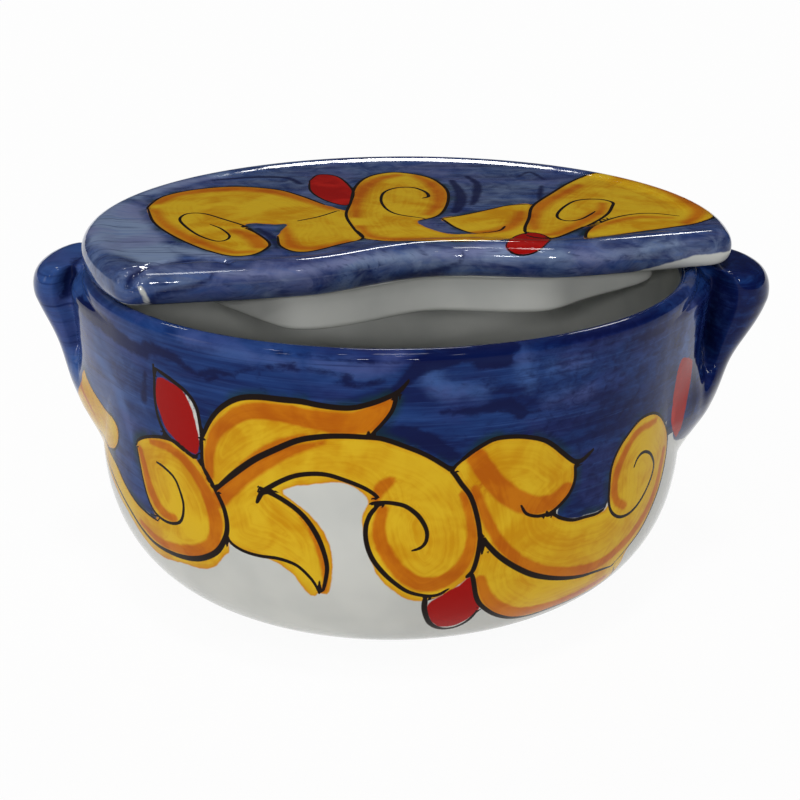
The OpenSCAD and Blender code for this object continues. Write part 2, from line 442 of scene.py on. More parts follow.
def bowlProfile():
    # from the middle of the underside, up the outside, over the lip and down to the middle of the floor;
    # each point also has its distance down from the rim, negative on the inside
    b = bowl
    outer = sideLine(b["bellyRadius"], b["baseRadius"], b["underside"], b["wallDraw"])
    inner = sideLine(b["bellyRadius"] - b["wall"], b["baseRadius"] - b["lip"], b["underside"] + b["wall"],
                     b["wallDraw"])
    fine = np.arange(0, b["paintDrop"] - b["lip"], b["paintStep"])
    coarse = np.arange(b["paintDrop"], 1, b["plainStep"])
    outerRows, outerRun = evenRows(outer, np.concatenate([fine, coarse]))
    innerRows, innerRun = evenRows(inner, np.arange(0, 1, b["plainStep"]))
    a = np.linspace(0, math.pi, b["lipRows"] + 2)[1:-1]
    middle = b["rimRadius"] - b["lip"]
    lipRows = np.stack([middle + b["lip"] * np.cos(a), b["rimHeight"] - b["lip"] + b["lip"] * np.sin(a)], 1)
    lipDrop = np.where(a < math.pi / 2, 1, -1) * (b["rimHeight"] - lipRows[:, 1])
    underRows = np.array([[share * b["baseRadius"], b["underside"]] for share in b["underRows"]])
    floorRows = np.array([[share * (b["baseRadius"] - b["lip"]), b["underside"] + b["wall"]]
                          for share in b["floorRows"]])
    points = np.vstack([underRows, outerRows[::-1], lipRows, innerRows, floorRows])
    drop = np.concatenate([np.full(len(underRows), outerRun[-1] + b["lip"]), outerRun[::-1] + b["lip"],
                           lipDrop, -b["lip"] - innerRun, np.full(len(floorRows), -b["lip"] - innerRun[-1])])
    return points, drop


def turningTree():
    # a geometry tree that turns a profile line round the upright axis
    tree = bpy.data.node_groups.new("turned_on_a_wheel", "GeometryNodeTree")
    face = tree.interface
    face.new_socket("Profile", in_out="INPUT", socket_type="NodeSocketGeometry")
    columns = face.new_socket("Columns", in_out="INPUT", socket_type="NodeSocketInt")
    coat = face.new_socket("Coat", in_out="INPUT", socket_type="NodeSocketMaterial")
    face.new_socket("Body", in_out="OUTPUT", socket_type="NodeSocketGeometry")
    start = addNode(tree, "NodeGroupInput")
    rows = addNode(tree, "GeometryNodeAttributeDomainSize", {"Geometry": start.outputs["Profile"]})
    rows = rows.outputs["Point Count"]
    sheet = addNode(tree, "GeometryNodeMeshGrid", {
        "Size X": 1.0, "Size Y": 1.0,
        "Vertices X": maths(tree, "ADD", start.outputs["Columns"], 1.0), "Vertices Y": rows}).outputs["Mesh"]
    place = addNode(tree, "GeometryNodeInputPosition").outputs[0]
    spot = addNode(tree, "ShaderNodeSeparateXYZ", {0: place})
    angle = maths(tree, "MULTIPLY", maths(tree, "ADD", spot.outputs["X"], 0.5), 2 * math.pi)
    lastRow = maths(tree, "SUBTRACT", rows, 1.0)
    share = maths(tree, "MULTIPLY", maths(tree, "ADD", spot.outputs["Y"], 0.5), lastRow)
    row = addNode(tree, "FunctionNodeFloatToInt", {0: share}, rounding_mode="ROUND").outputs[0]
    held = addNode(tree, "GeometryNodeStoreNamedAttribute", {"Geometry": sheet, "Name": "row", "Value": row},
                   data_type="INT", domain="POINT").outputs[0]
    profilePlace = addNode(tree, "GeometryNodeInputPosition").outputs[0]
    sample = addNode(tree, "GeometryNodeSampleIndex", {"Geometry": start.outputs["Profile"]},
                     data_type="FLOAT_VECTOR", domain="POINT")
    tree.links.new(profilePlace, sample.inputs["Value"])
    tree.links.new(row, sample.inputs["Index"])
    point = addNode(tree, "ShaderNodeSeparateXYZ", {0: sample.outputs[0]})
    radius = point.outputs["X"]
    turned = addNode(tree, "ShaderNodeCombineXYZ", {
        0: maths(tree, "MULTIPLY", radius, maths(tree, "COSINE", angle)),
        1: maths(tree, "MULTIPLY", radius, maths(tree, "SINE", angle)),
        2: point.outputs["Z"]}).outputs[0]
    moved = addNode(tree, "GeometryNodeSetPosition", {"Geometry": held, "Position": turned}).outputs[0]
    closed = addNode(tree, "GeometryNodeMergeByDistance",
                     {"Geometry": moved, "Distance": 0.002 * mm}).outputs[0]
    real = addNode(tree, "GeometryNodeRealizeInstances", {"Geometry": closed}).outputs[0]
    coated = addNode(tree, "GeometryNodeSetMaterial",
                     {"Geometry": real, "Material": start.outputs["Coat"]}).outputs[0]
    end = addNode(tree, "NodeGroupOutput")
    tree.links.new(coated, end.inputs["Body"])
    return tree, columns.identifier, coat.identifier


wheel, wheelColumns, wheelCoat = turningTree()


def smoothOutward(mesh):
    work = bmesh.new()
    work.from_mesh(mesh)
    bmesh.ops.recalc_face_normals(work, faces=work.faces)
    for face in work.faces:
        face.smooth = True
    work.to_mesh(mesh)
    work.free()


def ringMesh(name, rings, ends, coat):
    # a closed skin over a row of rings, with a point in the middle at each end
    rows, columns = rings.shape[:2]
    points = np.vstack([rings.reshape(-1, 3), ends])
    i = np.arange(columns)
    j = (i + 1) % columns
    first = rows * columns
    low = first - columns
    faces = []
    for a in range(0, low, columns):
        b = a + columns
        faces += np.stack([a + i, a + j, b + j, b + i], 1).tolist()
    faces += np.stack([j, i, np.full(columns, first)], 1).tolist()
    faces += np.stack([low + i, low + j, np.full(columns, first + 1)], 1).tolist()
    mesh = bpy.data.meshes.new(name)
    mesh.from_pydata(points.tolist(), [], faces)
    mesh.materials.append(coat)
    smoothOutward(mesh)
    made = bpy.data.objects.new(name, mesh)
    scene.collection.objects.link(made)
    return made


def turnProfile(name, points, columns, coat):
    # runs the wheel tree over a profile and keeps the result as a plain mesh
    line = bpy.data.meshes.new(name + "_profile")
    line.from_pydata([(r, 0, z) for r, z in points], [(i, i + 1) for i in range(len(points) - 1)], [])
    made = bpy.data.objects.new(name, line)
    scene.collection.objects.link(made)
    modifier = made.modifiers.new("wheel", "NODES")
    modifier.node_group = wheel
    modifier[wheelColumns] = columns
    modifier[wheelCoat] = coat
    evaluated = made.evaluated_get(bpy.context.evaluated_depsgraph_get())
    solid = bpy.data.meshes.new_from_object(evaluated)
    made.modifiers.remove(modifier)
    made.data = solid
    solid.name = name
    smoothOutward(solid)
    return made


bowlPoints, bowlDrop = bowlProfile()
paintedBowl = turnProfile("painted_bowl", bowlPoints, bowl["columns"], materials["bowl"])
print("bowl turned:", len(paintedBowl.data.vertices), "points")


# the scrolls on the bowl: places are (degrees round from the front, mm down from the rim);
# brush strokes and lines start with their half widths in mm at the start, the middle and the end

scrolls = {
    "turn": 4.5,               # the whole painting is set this many degrees round from the handles
    "rimRadius": 75,           # mm
    "bands": (8, 24),          # laid flat in bands of like radius, numbered from the innermost to the rim
    "lipEdge": 2.9,            # the blue goes this far over the lip
    "lipDrop": 1,              # mm: the lip's blue starts so far down outside, the scrolls end so inside
    "paintedShadeToRight": ((-30, 8, 40), (-2.0, -0.7, 0.0)),        # painted shade: the blue darker round towards the right, at places round the wall
    "paintedLightToLeft": ((-90, -45, -20), (0.2, -0.7, -4.0)),      # and painted light and reflection: the blue paler round towards the left
    "blue": [
        [(-100, 42), (-84, 42), (-77, 41), (-70, 42), (-63, 43), (-58, 44.5), (-54, 46.5), (-50, 47.6),
         (-45, 48.6), (-41.2, 49), (-42.5, 46), (-44, 42), (-44, 37), (-41, 33), (-35, 31), (-29, 32),
         (-24, 24), (-15, 16), (-5, 16), (2, 16.5), (3.5, 20), (6.6, 21.5), (9.4, 23), (12, 25), (15, 27.5),
         (17.5, 29), (20, 26), (25, 24), (32, 26), (36, 30), (38.5, 33), (38.3, 37), (36.5, 40), (36.7, 42),
         (39.8, 43.6), (43, 43.8), (45.5, 44), (47.7, 43.5), (49, 40), (50, 34), (54, 29), (60, 29),
         (66, 31), (70, 30), (72, 36), (76, 39), (83, 41), (100, 42), (100, -12), (60, -12), (30, -12),
         (0, -12), (-30, -12), (-60, -12), (-100, -12)],
    ],
    "bare": [
        [(-31, 13.6), (-28.8, 16.5), (-27.9, 20.5), (-27.8, 24.5), (-28.8, 24.5), (-28.8, 21),
         (-29.7, 17.5)],
    ],
    "yellow": [
        [(-46, 31.5), (-42.5, 29), (-38, 27.5), (-34, 27.3), (-30, 29), (-27.3, 32.4), (-25, 36.6),
         (-23.8, 40.5), (-23.3, 45), (-23.3, 50), (-24.5, 52), (-27.5, 56), (-31.5, 58.2), (-36, 58.8),
         (-44, 60.5), (-49, 58), (-53, 54), (-58, 50.5), (-64, 47), (-72, 43), (-80, 40), (-76, 38.5),
         (-66, 40), (-60, 41), (-57, 42.3), (-53, 45.3), (-48.6, 47.8), (-44.7, 48.9), (-41.5, 49),
         (-42.6, 47), (-44, 44), (-45, 41), (-46, 36)],
        [(-84.5, 39.4), (-80, 35.4), (-75, 31), (-72.6, 28), (-71.6, 25), (-69.5, 23.4), (-68.3, 24.9),
         (-65.1, 27.7), (-61.2, 29.8), (-56.5, 29.8), (-54, 31.5), (-54.4, 34.8), (-57.4, 38.5),
         (-63, 40.5), (-70, 40.5), (-78, 40.6)],
        [(-27.9, 29.5), (-27.8, 25.3), (-26.6, 22), (-24.7, 18.3), (-22.3, 15.2), (-19.2, 12.8),
         (-15.6, 11.8), (-11.5, 11.7), (-8.2, 11.7), (-4.6, 12.3), (-0.4, 12.5), (3, 11.4), (5.8, 9.9),
         (7.4, 9), (6.5, 12.8), (5.1, 15.7), (3, 18.5), (0, 20), (-5.5, 21), (-9.2, 22), (-13, 25),
         (-17, 28), (-21.7, 33), (-25, 37), (-27.4, 32.5)],
        [(-25, 35.5), (-21.7, 31.4), (-17.2, 26.7), (-13, 23.4), (-9.2, 20.8), (-5.5, 19.5), (-2, 19),
         (1.6, 19), (5, 19.4), (6.6, 20.4), (9.4, 21.7), (12.2, 23.4), (14.7, 25.6), (16.2, 27.2),
         (18, 30.5), (19.7, 33.8), (20.9, 38.6), (21.5, 43.4), (21.2, 48), (20.4, 52), (18, 55.5),
         (14.6, 58.3), (11.6, 59.3), (8.9, 58.5), (6.6, 55.9), (4.3, 52.7), (3, 49), (1.7, 43.3),
         (1.4, 37.6), (2.4, 33.9), (0.5, 31), (-2, 29.8), (-5.8, 30.5), (-9.6, 31.5), (-12.3, 33.4),
         (-9.7, 35.6), (-6.8, 39), (-4.6, 43.3), (-3.8, 48.4), (-4.2, 54), (-5.2, 57.8), (-6.6, 57.6),
         (-7.7, 59), (-8.8, 58), (-11.2, 53.2), (-14.7, 50.4), (-17, 49.8), (-20, 49.5), (-22.3, 48.5),
         (-23.5, 47.2), (-24.3, 42), (-25.3, 38)],
        [(16.7, 26.8), (17.6, 25.3), (19.4, 23.5), (21.6, 21.8), (24, 20.7), (28, 21), (32, 22.5),
         (34.4, 24.4), (36.7, 27), (39.2, 29.6), (39.6, 34), (38.8, 37), (37, 39.2), (35.5, 41), (37, 42.6),
         (39.8, 44), (42.8, 44.2), (45.5, 44.4), (47.5, 44.2), (48.6, 42.5), (48.4, 39.4), (48.5, 34.5),
         (49.8, 30.8), (52.5, 27.5), (56.2, 25.2), (61, 25.6), (65.3, 29), (69, 34.5), (69.5, 40.3),
         (67.2, 46.4), (64.3, 51.3), (61.4, 55.8), (58, 60), (58.5, 65), (57.5, 68.8), (53.7, 71),
         (46.7, 71.3), (40.7, 71.5), (35.5, 72), (30.8, 70.6), (26.6, 67), (23.2, 62.7), (21.3, 57.4),
         (20.6, 53), (21.2, 48), (21.5, 43.4), (20.9, 38.6), (19.7, 33.8), (18, 30.5)],
    ],
    "orange": [
        ((0.8, 2.0, 1.0), [(-41, 29.6), (-36, 29.2), (-32, 31), (-29, 34.5), (-27, 39), (-25.8, 44),
            (-27, 49.5), (-31, 53), (-36, 54.6), (-42, 55.2), (-48, 53)]),
        ((1.0, 1.5, 1.0), [(-45, 33), (-44, 37), (-43, 41), (-41, 44.5), (-38.5, 46.5), (-36, 46.5)]),
        ((1.2, 2.0, 3.0), [(-26.5, 33), (-26.3, 28), (-24.8, 23), (-22, 19), (-18.5, 16), (-14.5, 14.9),
            (-10, 15), (-5, 15.8), (0, 16), (3.5, 14.6), (6, 12)]),
        ((2.0, 1.8, 0.4), [(-24.7, 38), (-19.5, 31.3), (-14.7, 26.4), (-10, 23.2), (-4.5, 20.6)]),
        ((0.3, 0.9, 0.3), [(-21, 30), (-17.5, 26), (-13.5, 22.6), (-9, 19.9), (-6, 19)]),
        ((0.4, 0.8, 0.8), [(-12.6, 35), (-8.8, 39), (-6.7, 43.5), (-5.5, 48.5), (-5.2, 53), (-5.8, 57)]),
        ((1.0, 1.3, 1.1), [(3.6, 33.4), (4.6, 30.8), (6.2, 29)]),
        ((1.2, 2.0, 0.8), [(4.8, 36), (4.2, 40.6), (4.9, 44.7), (6.9, 49.4), (9.5, 53), (13, 54.6),
            (16.5, 53), (19, 49), (20.1, 43.7), (19.6, 38.4), (18.2, 33)]),
        ((2.2, 2.5, 1.8), [(20.5, 24.6), (22.3, 28.3), (24.7, 32.4), (27.8, 35.8), (31, 38), (35, 38.2),
            (38, 36)]),
        ((0.8, 1.2, 1.0), [(62, 28), (55.5, 28.2), (51.8, 32.4), (50, 37.5), (50.4, 42.6), (53.2, 45.6)]),
        ((1.2, 1.7, 1.0), [(67.8, 38), (65.2, 46), (60.5, 52.6), (54.5, 57.2), (47.8, 59.4), (39.3, 57.6),
            (31.7, 53.4), (25.8, 46.6), (22.7, 39.5), (20.4, 32)]),
        ((1.2, 2.2, 1.4), [(22, 54.4), (24, 60.5), (27.5, 65.2), (32, 68.6), (38, 69.4), (45, 69.2),
            (54, 67.4)]),
        ((0.5, 0.9, 0.5), [(-73.5, 27), (-71.5, 31), (-69.5, 35)]),
    ],
    "red": [
        [(-36.7, 12.6), (-33.3, 12.9), (-30.9, 14), (-29.3, 17.6), (-28.5, 21.9), (-28.2, 25), (-29, 28.4),
         (-31.7, 28), (-34.2, 26.3), (-36.2, 24.4), (-37.4, 21), (-38, 17.8)],
        [(13, 60.2), (15.8, 57.2), (18.4, 55.2), (20.4, 53.2), (21.6, 58), (22.7, 63.4), (20.8, 67.4),
         (18, 69.8), (15, 69), (13, 64)],
        [(71.1, 16.1), (76.5, 18.7), (76.9, 22.7), (75.6, 27.1), (74.8, 31.9), (74.9, 35.9), (73.8, 37.2),
         (70.2, 32.5), (69.4, 27.1), (69.1, 22), (69.7, 17.8)],
    ],
    "ink": [
        ((0.45, 0.5, 0.45), [(-37.6, 9.8), (-37.8, 13.6), (-38.3, 18), (-38, 22.4), (-36.4, 26),
            (-33.8, 27.5), (-31.3, 28.8), (-29.4, 29.5)]),
        ((0.55, 0.5, 0.45), [(-37.2, 10.6), (-33.2, 12.2), (-29.9, 14.2), (-28.2, 16.8), (-27.7, 20.2),
            (-27.6, 24.3), (-27.9, 29.5), (-27.4, 32.5), (-26, 35.8)]),
        ((0.3, 0.45, 0.5), [(-46.2, 33), (-45.7, 31.2), (-42.5, 29), (-37.8, 27.3), (-33.8, 27.2),
            (-30.8, 28.9), (-29.2, 29.8)]),
        ((0.5, 0.8, 0.25), [(-29.6, 28.6), (-27.2, 32.4), (-25.2, 36.6), (-23.8, 40.4), (-23.4, 44.5),
            (-24.3, 48), (-26.3, 51.5), (-29.9, 54.5), (-34, 56.3), (-39.3, 57.2), (-44.5, 57), (-48.4, 55),
            (-52.5, 51.6), (-57, 48.6), (-63, 45.4), (-70, 42)]),
        ((0.3, 0.4, 0.35), [(-46.2, 32), (-45.8, 36), (-45, 40.7), (-44, 44), (-42.3, 47), (-39.7, 48.3),
            (-36.6, 48.1), (-34.2, 46.4), (-33.3, 42.6), (-34, 39), (-35.3, 36.2), (-38, 34.6),
            (-40.4, 34.1)]),
        ((0.25, 0.35, 0.35), [(-72, 39.4), (-66, 40), (-62.9, 40.6), (-57, 42.3), (-53, 45.2),
            (-48.6, 47.8), (-44.7, 48.9), (-41, 49.4)]),
        ((0.45, 0.75, 0.5), [(-27.9, 30), (-27.8, 25.3), (-26.6, 22), (-24.7, 18.3), (-22.3, 15.2),
            (-19.2, 12.8), (-15.6, 11.8), (-11.5, 11.7), (-8.2, 11.7), (-4.6, 12.3), (-0.4, 12.5),
            (3, 11.4), (5.8, 9.9), (7.7, 8.4), (9.2, 6)]),
        ((0.5, 0.45, 0.4), [(7.2, 9.4), (6.5, 12.8), (5, 15.7), (3, 18.6)]),
        ((0.8, 0.55, 0.6), [(-25.2, 35.6), (-21.7, 31.4), (-17.2, 26.7), (-13, 23.4), (-9.2, 20.8),
            (-5.5, 19.5), (-2, 19), (1.6, 19), (5, 19.4), (9.4, 21.6), (12.2, 23.4), (14.7, 25.6),
            (16.4, 27.4), (18, 30.5), (19.7, 33.8), (20.9, 38.6), (21.5, 43.4), (21.2, 48), (20.4, 52),
            (19.2, 53.2)]),
        ((0.6, 0.55, 0.45), [(-17.2, 37), (-16, 34.2), (-13.4, 31.6), (-10.2, 29.3), (-7.2, 28.3),
            (-4.3, 28.2), (-1.4, 29.2), (1.4, 30.6), (3.2, 32), (4.4, 33.4)]),
        ((0.6, 0.65, 0.4), [(-16.9, 33.1), (-13.6, 34.4), (-10.5, 36.5), (-8.3, 39), (-6.5, 42.5),
            (-5.4, 46), (-4.8, 50.2), (-5.3, 54.2), (-5.9, 57)]),
        ((0.4, 0.45, 0.35), [(-23.6, 47), (-22.3, 48.5), (-20, 49.5), (-17, 49.8), (-14.2, 49.6),
            (-11.8, 50), (-9.9, 51), (-8, 53.5), (-7, 55.8), (-6.6, 58)]),
        ((0.5, 0.6, 0.4), [(4.4, 34.5), (2.8, 37), (2, 40.2), (2.1, 43.8), (3, 47.4), (4.6, 50.6),
            (6.6, 53.5), (9.2, 56.3), (12.3, 57.7), (14.6, 57.6), (16.4, 56)]),
        ((0.45, 0.55, 0.3), [(2.6, 34.5), (5, 34.2), (6.8, 34.4), (8.8, 35.2), (10.9, 37.6), (12.2, 40.8),
            (12.2, 43.4), (11.3, 45), (9.8, 45.7)]),
        ((0.7, 0.6, 0.35), [(12.3, 58), (12.3, 62.3), (13.6, 67.5), (16, 70.6), (18.7, 70.8), (21, 68.2),
            (22.6, 64)]),
        ((0.5, 0.55, 0.6), [(17.6, 25.4), (19.4, 23.5), (21.6, 21.8), (24, 20.7), (28, 21), (32, 22.5),
            (34.4, 24.4), (36.7, 27), (39.2, 29.6), (41, 29.9), (43.5, 28)]),
        ((0.35, 0.4, 0.35), [(16.3, 27.4), (16.9, 26.2), (17.8, 25.2)]),
        ((0.4, 0.45, 0.4), [(39.4, 29.8), (39.7, 34), (38.8, 37), (37, 39.2), (35, 40.7), (33.4, 41.1)]),
        ((0.35, 0.45, 0.35), [(28.8, 37.2), (30, 39.7), (32.3, 40.9), (35, 41), (37, 42.6), (39.8, 44),
            (42.8, 44.2), (45.5, 44.4), (47.8, 43.8)]),
        ((0.6, 0.75, 0.35), [(21.3, 42.4), (23, 45.8), (25.6, 49.5), (29.2, 53.2), (33, 56.2), (38.4, 59),
            (44.2, 61), (49.3, 61.8), (54.8, 63)]),
        ((0.3, 0.4, 0.4), [(54, 63), (57.4, 59.6), (61.4, 55.8), (64.3, 51.3), (67.2, 46.4), (69.5, 40.3),
            (69, 34.5), (65.3, 29), (61, 25.7), (56.2, 25.2), (52.5, 27.5), (49.8, 30.8), (48.5, 34.5),
            (48.4, 39.4), (48.6, 43.2), (49.8, 46), (52.4, 48), (55.9, 48.1), (59.4, 46), (62.4, 42.5),
            (63.2, 39.4), (61.2, 35.9), (58.4, 34.3), (56.4, 35), (55.4, 37)]),
        ((0.6, 0.6, 0.25), [(20.3, 52), (20.8, 54.8), (21.7, 59.5), (23.2, 62.9), (26.6, 67.2),
            (30.8, 70.6), (35.5, 72.2), (40.7, 71.8), (46.7, 71.4), (53.7, 71), (57.9, 68.6), (56, 64)]),
        ((0.2, 0.35, 0.3), [(-69.5, 23.4), (-68.3, 24.9), (-65.1, 27.7), (-61.2, 29.8), (-56.5, 29.8),
            (-54, 31.5), (-54.4, 34.8), (-57.4, 38.5), (-62.9, 40.6)]),
    ],
    "dark": [
        ((1.6, 2.4, 1.6), [(-66, 5), (-60, 5.4), (-53.6, 5.7), (-46, 7.2), (-39.3, 7.6)]),
        ((1.4, 1.2, 0.5), [(-39, 6), (-32.2, 6.8), (-27.1, 9.4)]),
        ((0.6, 0.35, 0.5), [(-25.4, 10), (-20.1, 7.3), (-14.9, 4.9), (-9, 3.6)]),
        ((0.8, 0.9, 0.4), [(-26.2, 8.7), (-22.6, 7.6), (-19.3, 7.6)]),
        ((0.4, 0.3, 0.3), [(-8.6, 4.5), (-14.2, 5.4), (-15.4, 8.4), (-14, 10.6)]),
        ((0.3, 0.4, 1.3), [(-8.6, 4.5), (-2.4, 4.8), (-0.6, 5.6)]),
        ((0.5, 0.4, 0.9), [(-2.4, 6.8), (1.4, 7.5), (4.8, 6.2)]),
        ((0.2, 0.4, 0.3), [(-12.6, 1.2), (-5, 1.4), (1.8, 1.9), (7.7, 2.2)]),
        ((1.2, 0.8, 0.4), [(-41.6, 19.5), (-40.6, 14.5), (-40, 11)]),
        ((1.0, 2.2, 1.0), [(5.4, 10.4), (8.6, 6.5), (10.6, 3.2), (14.7, 1.7), (20.2, 1), (26.6, 0.6)]),
        ((1.7, 2.0, 1.5), [(20.6, 2.6), (23, 2.8), (25, 2.8)]),
        ((0.6, 1.3, 1.8), [(14.5, 13.7), (20.2, 13.7), (25.3, 13.2), (27.8, 15.4)]),
        ((1.4, 0.7, 0.3), [(27, 15), (30, 15.6), (33.5, 16.2)]),
        ((1.6, 2.2, 1.6), [(4.4, 17.6), (8.7, 18.3), (13.2, 20.7), (16.5, 23.9)]),
        ((0.4, 0.9, 0.5), [(34, 1), (40, 0.8), (47, 0.9), (56, 0.8)]),
        ((0.7, 1.5, 0.6), [(50.5, 4.2), (55.5, 5), (61, 5.4)]),
        ((0.3, 0.5, 0.3), [(54.5, 17.6), (52, 19.6), (48.8, 22.6), (48, 25.8)]),
        ((0.4, 0.3, 0.3), [(21.1, 6.9), (22.6, 9.1), (27.2, 10.8), (31.9, 11.2), (38.5, 11.1)]),
        ((0.3, 0.5, 0.3), [(32.5, 17.6), (33.8, 21.7), (36, 24)]),
        ((1.0, 1.6, 1.0), [(78, 6), (78.5, 18), (78, 34)]),
    ],
    "pale": [
        # partly a thin wash, partly painted reflection where the wall and the left ear's root turn away at
        # the edge
        ((2.4, 3.4, 1.6), [(-84, 9), (-80, 16), (-76, 24)]),
        ((1.6, 2.6, 1.6), [(-60, 15), (-54, 19), (-50, 25), (-48, 31)]),
        ((0.6, 1.3, 0.8), [(-30, 1.2), (-23, 1.8), (-15.9, 2.4), (-9, 3)]),
        ((0.8, 1.6, 1.0), [(-6, 3.2), (0.1, 3.7), (6, 3.6)]),
        ((1.2, 1.6, 0.8), [(4.6, 4.2), (6, 2.4), (7.6, 0.8)]),
        ((1.6, 2.0, 1.2), [(12.6, 5.2), (15, 8.7), (21, 9.6)]),
        ((1.2, 1.8, 1.2), [(28, 2.6), (28.6, 6), (29.2, 9)]),
        ((1.0, 1.4, 0.8), [(33, 13.4), (37, 13.4), (41.5, 14)]),
        ((2.4, 4.2, 2.6), [(72.6, 4), (72.4, 10), (71.6, 16)]),
        ((1.0, 1.4, 0.8), [(32.6, 6.2), (36, 6.6), (40, 7)]),
    ],
}


def scrollFields(place, drop):
    # distances to every layer of the painting; the front painting is repeated once on the far side
    count = len(place)
    turn = np.degrees(np.arctan2(place[:, 0], -place[:, 1]))
    turn = (turn + 90) % 180 - 90 + scrolls["turn"]
    spots = np.stack([turn, drop], 1)
    radius = np.hypot(place[:, 0], place[:, 1]) / mm
    degree = math.radians(scrolls["rimRadius"])            # mm in a degree at the rim

    # taken on the wall laid flat at its own radius, in bands of like radius
    fields = {name: np.full(count, -far) for name in ("ground", "yellow", "orange", "red", "dark", "pale")}
    fields["inkAcross"], fields["inkGap"] = np.full(count, far), np.full(count, far)
    least, most = scrolls["bands"]
    bands = np.clip(np.round(radius / scrolls["rimRadius"] * most), least, most)
    for band in np.unique(bands):
        mine = np.flatnonzero((drop > -scrolls["lipDrop"]) & (bands == band))
        if not len(mine):
            continue
        stretch = np.array([degree * band / most, 1.0])
        flat = spots[mine] * stretch
        loops = {name: [np.array(points) * stretch for points in scrolls[name]]
                 for name in ("blue", "bare", "yellow", "red")}
        strokes = {name: [(widths, np.array(points) * stretch) for widths, points in scrolls[name]]
                   for name in ("orange", "ink", "dark", "pale")}
        fields["ground"][mine] = np.minimum(fillField(flat, loops["blue"]), -fillField(flat, loops["bare"]))
        fields["yellow"][mine] = fillField(flat, loops["yellow"])
        fields["red"][mine] = fillField(flat, loops["red"])
        for name in ("orange", "dark", "pale"):
            fields[name][mine] = brushField(flat, strokes[name])
        # painted shade darker towards the right and painted light paler towards the left, over the whole
        # wall
        for name, wash in (("dark", "paintedShadeToRight"), ("pale", "paintedLightToLeft")):
            everywhere = np.interp(spots[mine, 0], *scrolls[wash])
            fields[name][mine] = np.maximum(fields[name][mine], everywhere)
        fields["inkAcross"][mine], fields["inkGap"][mine] = inkFields(flat, strokes["ink"])
    return fields


def paintBowl(mesh):
    place = np.empty(len(mesh.vertices) * 3)
    mesh.vertices.foreach_get("co", place)
    row = np.empty(len(mesh.vertices), np.int32)
    mesh.attributes["row"].data.foreach_get("value", row)
    mesh.attributes.remove(mesh.attributes["row"])
    drop = bowlDrop[row] / mm
    fields = scrollFields(place.reshape(-1, 3), drop)
    overLip = np.clip(drop + scrolls["lipEdge"], -far, far)
    fields["ground"] = np.where(drop < scrolls["lipDrop"], overLip, fields["ground"])
    keepFields(mesh, fields)


paintBowl(paintedBowl.data)
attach(paintedBowl, "pot")
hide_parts("bowl")
print("bowl painted")


# the foot, a low turned disc of bare clay

foot = {"columns": 160, "chamfer": 0.35 * mm, "curl": 0.1 * mm, "ringShare": 0.5}
foot["radius"], foot["height"] = footHigh.x, footHigh.z
foot["ring"] = foot["radius"] * foot["ringShare"]
turnedFoot = turnProfile("turned_foot", [
    (0, 0), (foot["ring"], 0), (foot["radius"] - 2 * foot["chamfer"], 0),
    (foot["radius"] - foot["chamfer"], foot["curl"]), (foot["radius"], foot["chamfer"]),
    (foot["radius"], foot["height"]), (foot["ring"], foot["height"]), (0, foot["height"])],
    foot["columns"], materials["foot"])
turnedFoot.data.attributes.remove(turnedFoot.data.attributes["row"])
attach(turnedFoot, "pot")
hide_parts("foot")
print("foot turned")


# the ears: lugs that stand out from the wall, round over at the top and fade into the wall below

ear = {
    "drop": 46 * mm,
    "width": 28 * mm,
    "bulb": 0.5,               # the neck goes out to this share of the reach
    "roundShare": 0.18,        # the top is round in this share of the drop
    "topWidth": 0.7,
    "endWidth": 0.5,
    "fallFrom": 1.08,
    "fallBy": 0.9,
    "shoulder": 9,
    "taper": 0.72,             # from this share down the tail sinks into the wall
    "tipFall": 0.5,
    "sunk": 0.04 * mm,         # the root's edge lies this far in the wall
    "spread": 33 * mm,         # the clay is smoothed out this far along the wall on each side
    "swell": 3.4 * mm,         # and swells to this far off the wall there
    "swellFrom": 5 * mm,       # less so in this much below the ear's top
    "behind": 1.5 * mm,        # the back of the ear lies this deep in the wall
    "fullReach": 9 * mm,       # where the ear stands out less, it is spread less
    "bell": (0.25, 0.6),       # the lug turns into a low bell between these shares of the way down
    "bellWidth": 34 * mm,
    "leastDented": 0.25,       # a dent leaves this share of the half width
    "firstRing": 2,            # degrees round the top
    "roundRings": 22,
    "fallRings": 60,
    "rootPoints": 26,
    "neckPoints": 10,
    "bulbPoints": 18,
    "backPoints": 15,
    # in mm: the bowl's painting runs on over the root up to the neck and the groove beside it,
    # the ear is blue down to a height, darker further out and thinner further down
    "pastNeck": 0.5,
    "groove": 2.6,
    "blueTo": 46,
    "outDark": ((-1, 3), (-2.0, 0.0)),
    "lowThin": ((50, 70), (1.6, 0.0)),
    # pinch: depth, height and size; dents: depth, and place and size as (mm out from the wall,
    # mm up from the table); strokes: painted shade in the dents, places likewise; dark and pale:
    # washes all over, partly deep and thin pigment and partly painted shade and light of the two sides
    "pieces": {
        "right_ear": {
            "node": "right_handle", "side": 1, "reach": 18.4 * mm, "square": 0.32, "neck": 0.55,
            # dark: the right ear's wash, partly deep pigment and partly painted shade of the shaded side
            "pinch": (2.1, 58, 9), "dark": 0.3, "pale": -far,
            "dents": [(3.2, (3.2, 66), (1.3, 12))],
            # painted shade in the dent, with glaze pooled dark in the groove
            "strokes": [((0.8, 1.2, 0.6), [(3.2, 79), (3.2, 66), (2.8, 54)])],
        },
        "left_ear": {
            "node": "left_handle", "side": -1, "reach": 14.2 * mm, "square": 0.42, "neck": 0.85,
            # pale: the left ear's wash, partly thin pigment and partly painted light of the lit side
            "pinch": (2.1, 62, 9), "dark": -2.2, "pale": 0.4,
            "dents": [(3.0, (2.2, 78), (1.4, 3.0)), (3.0, (3.7, 74.2), (1.5, 3.2))],
            # painted shade in the dents
            "strokes": [((1.2, 1.7, 1.2), [(1.4, 80), (2.6, 77), (4.0, 73)])],
        },
    },
}
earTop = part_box("right_handle")[1].z


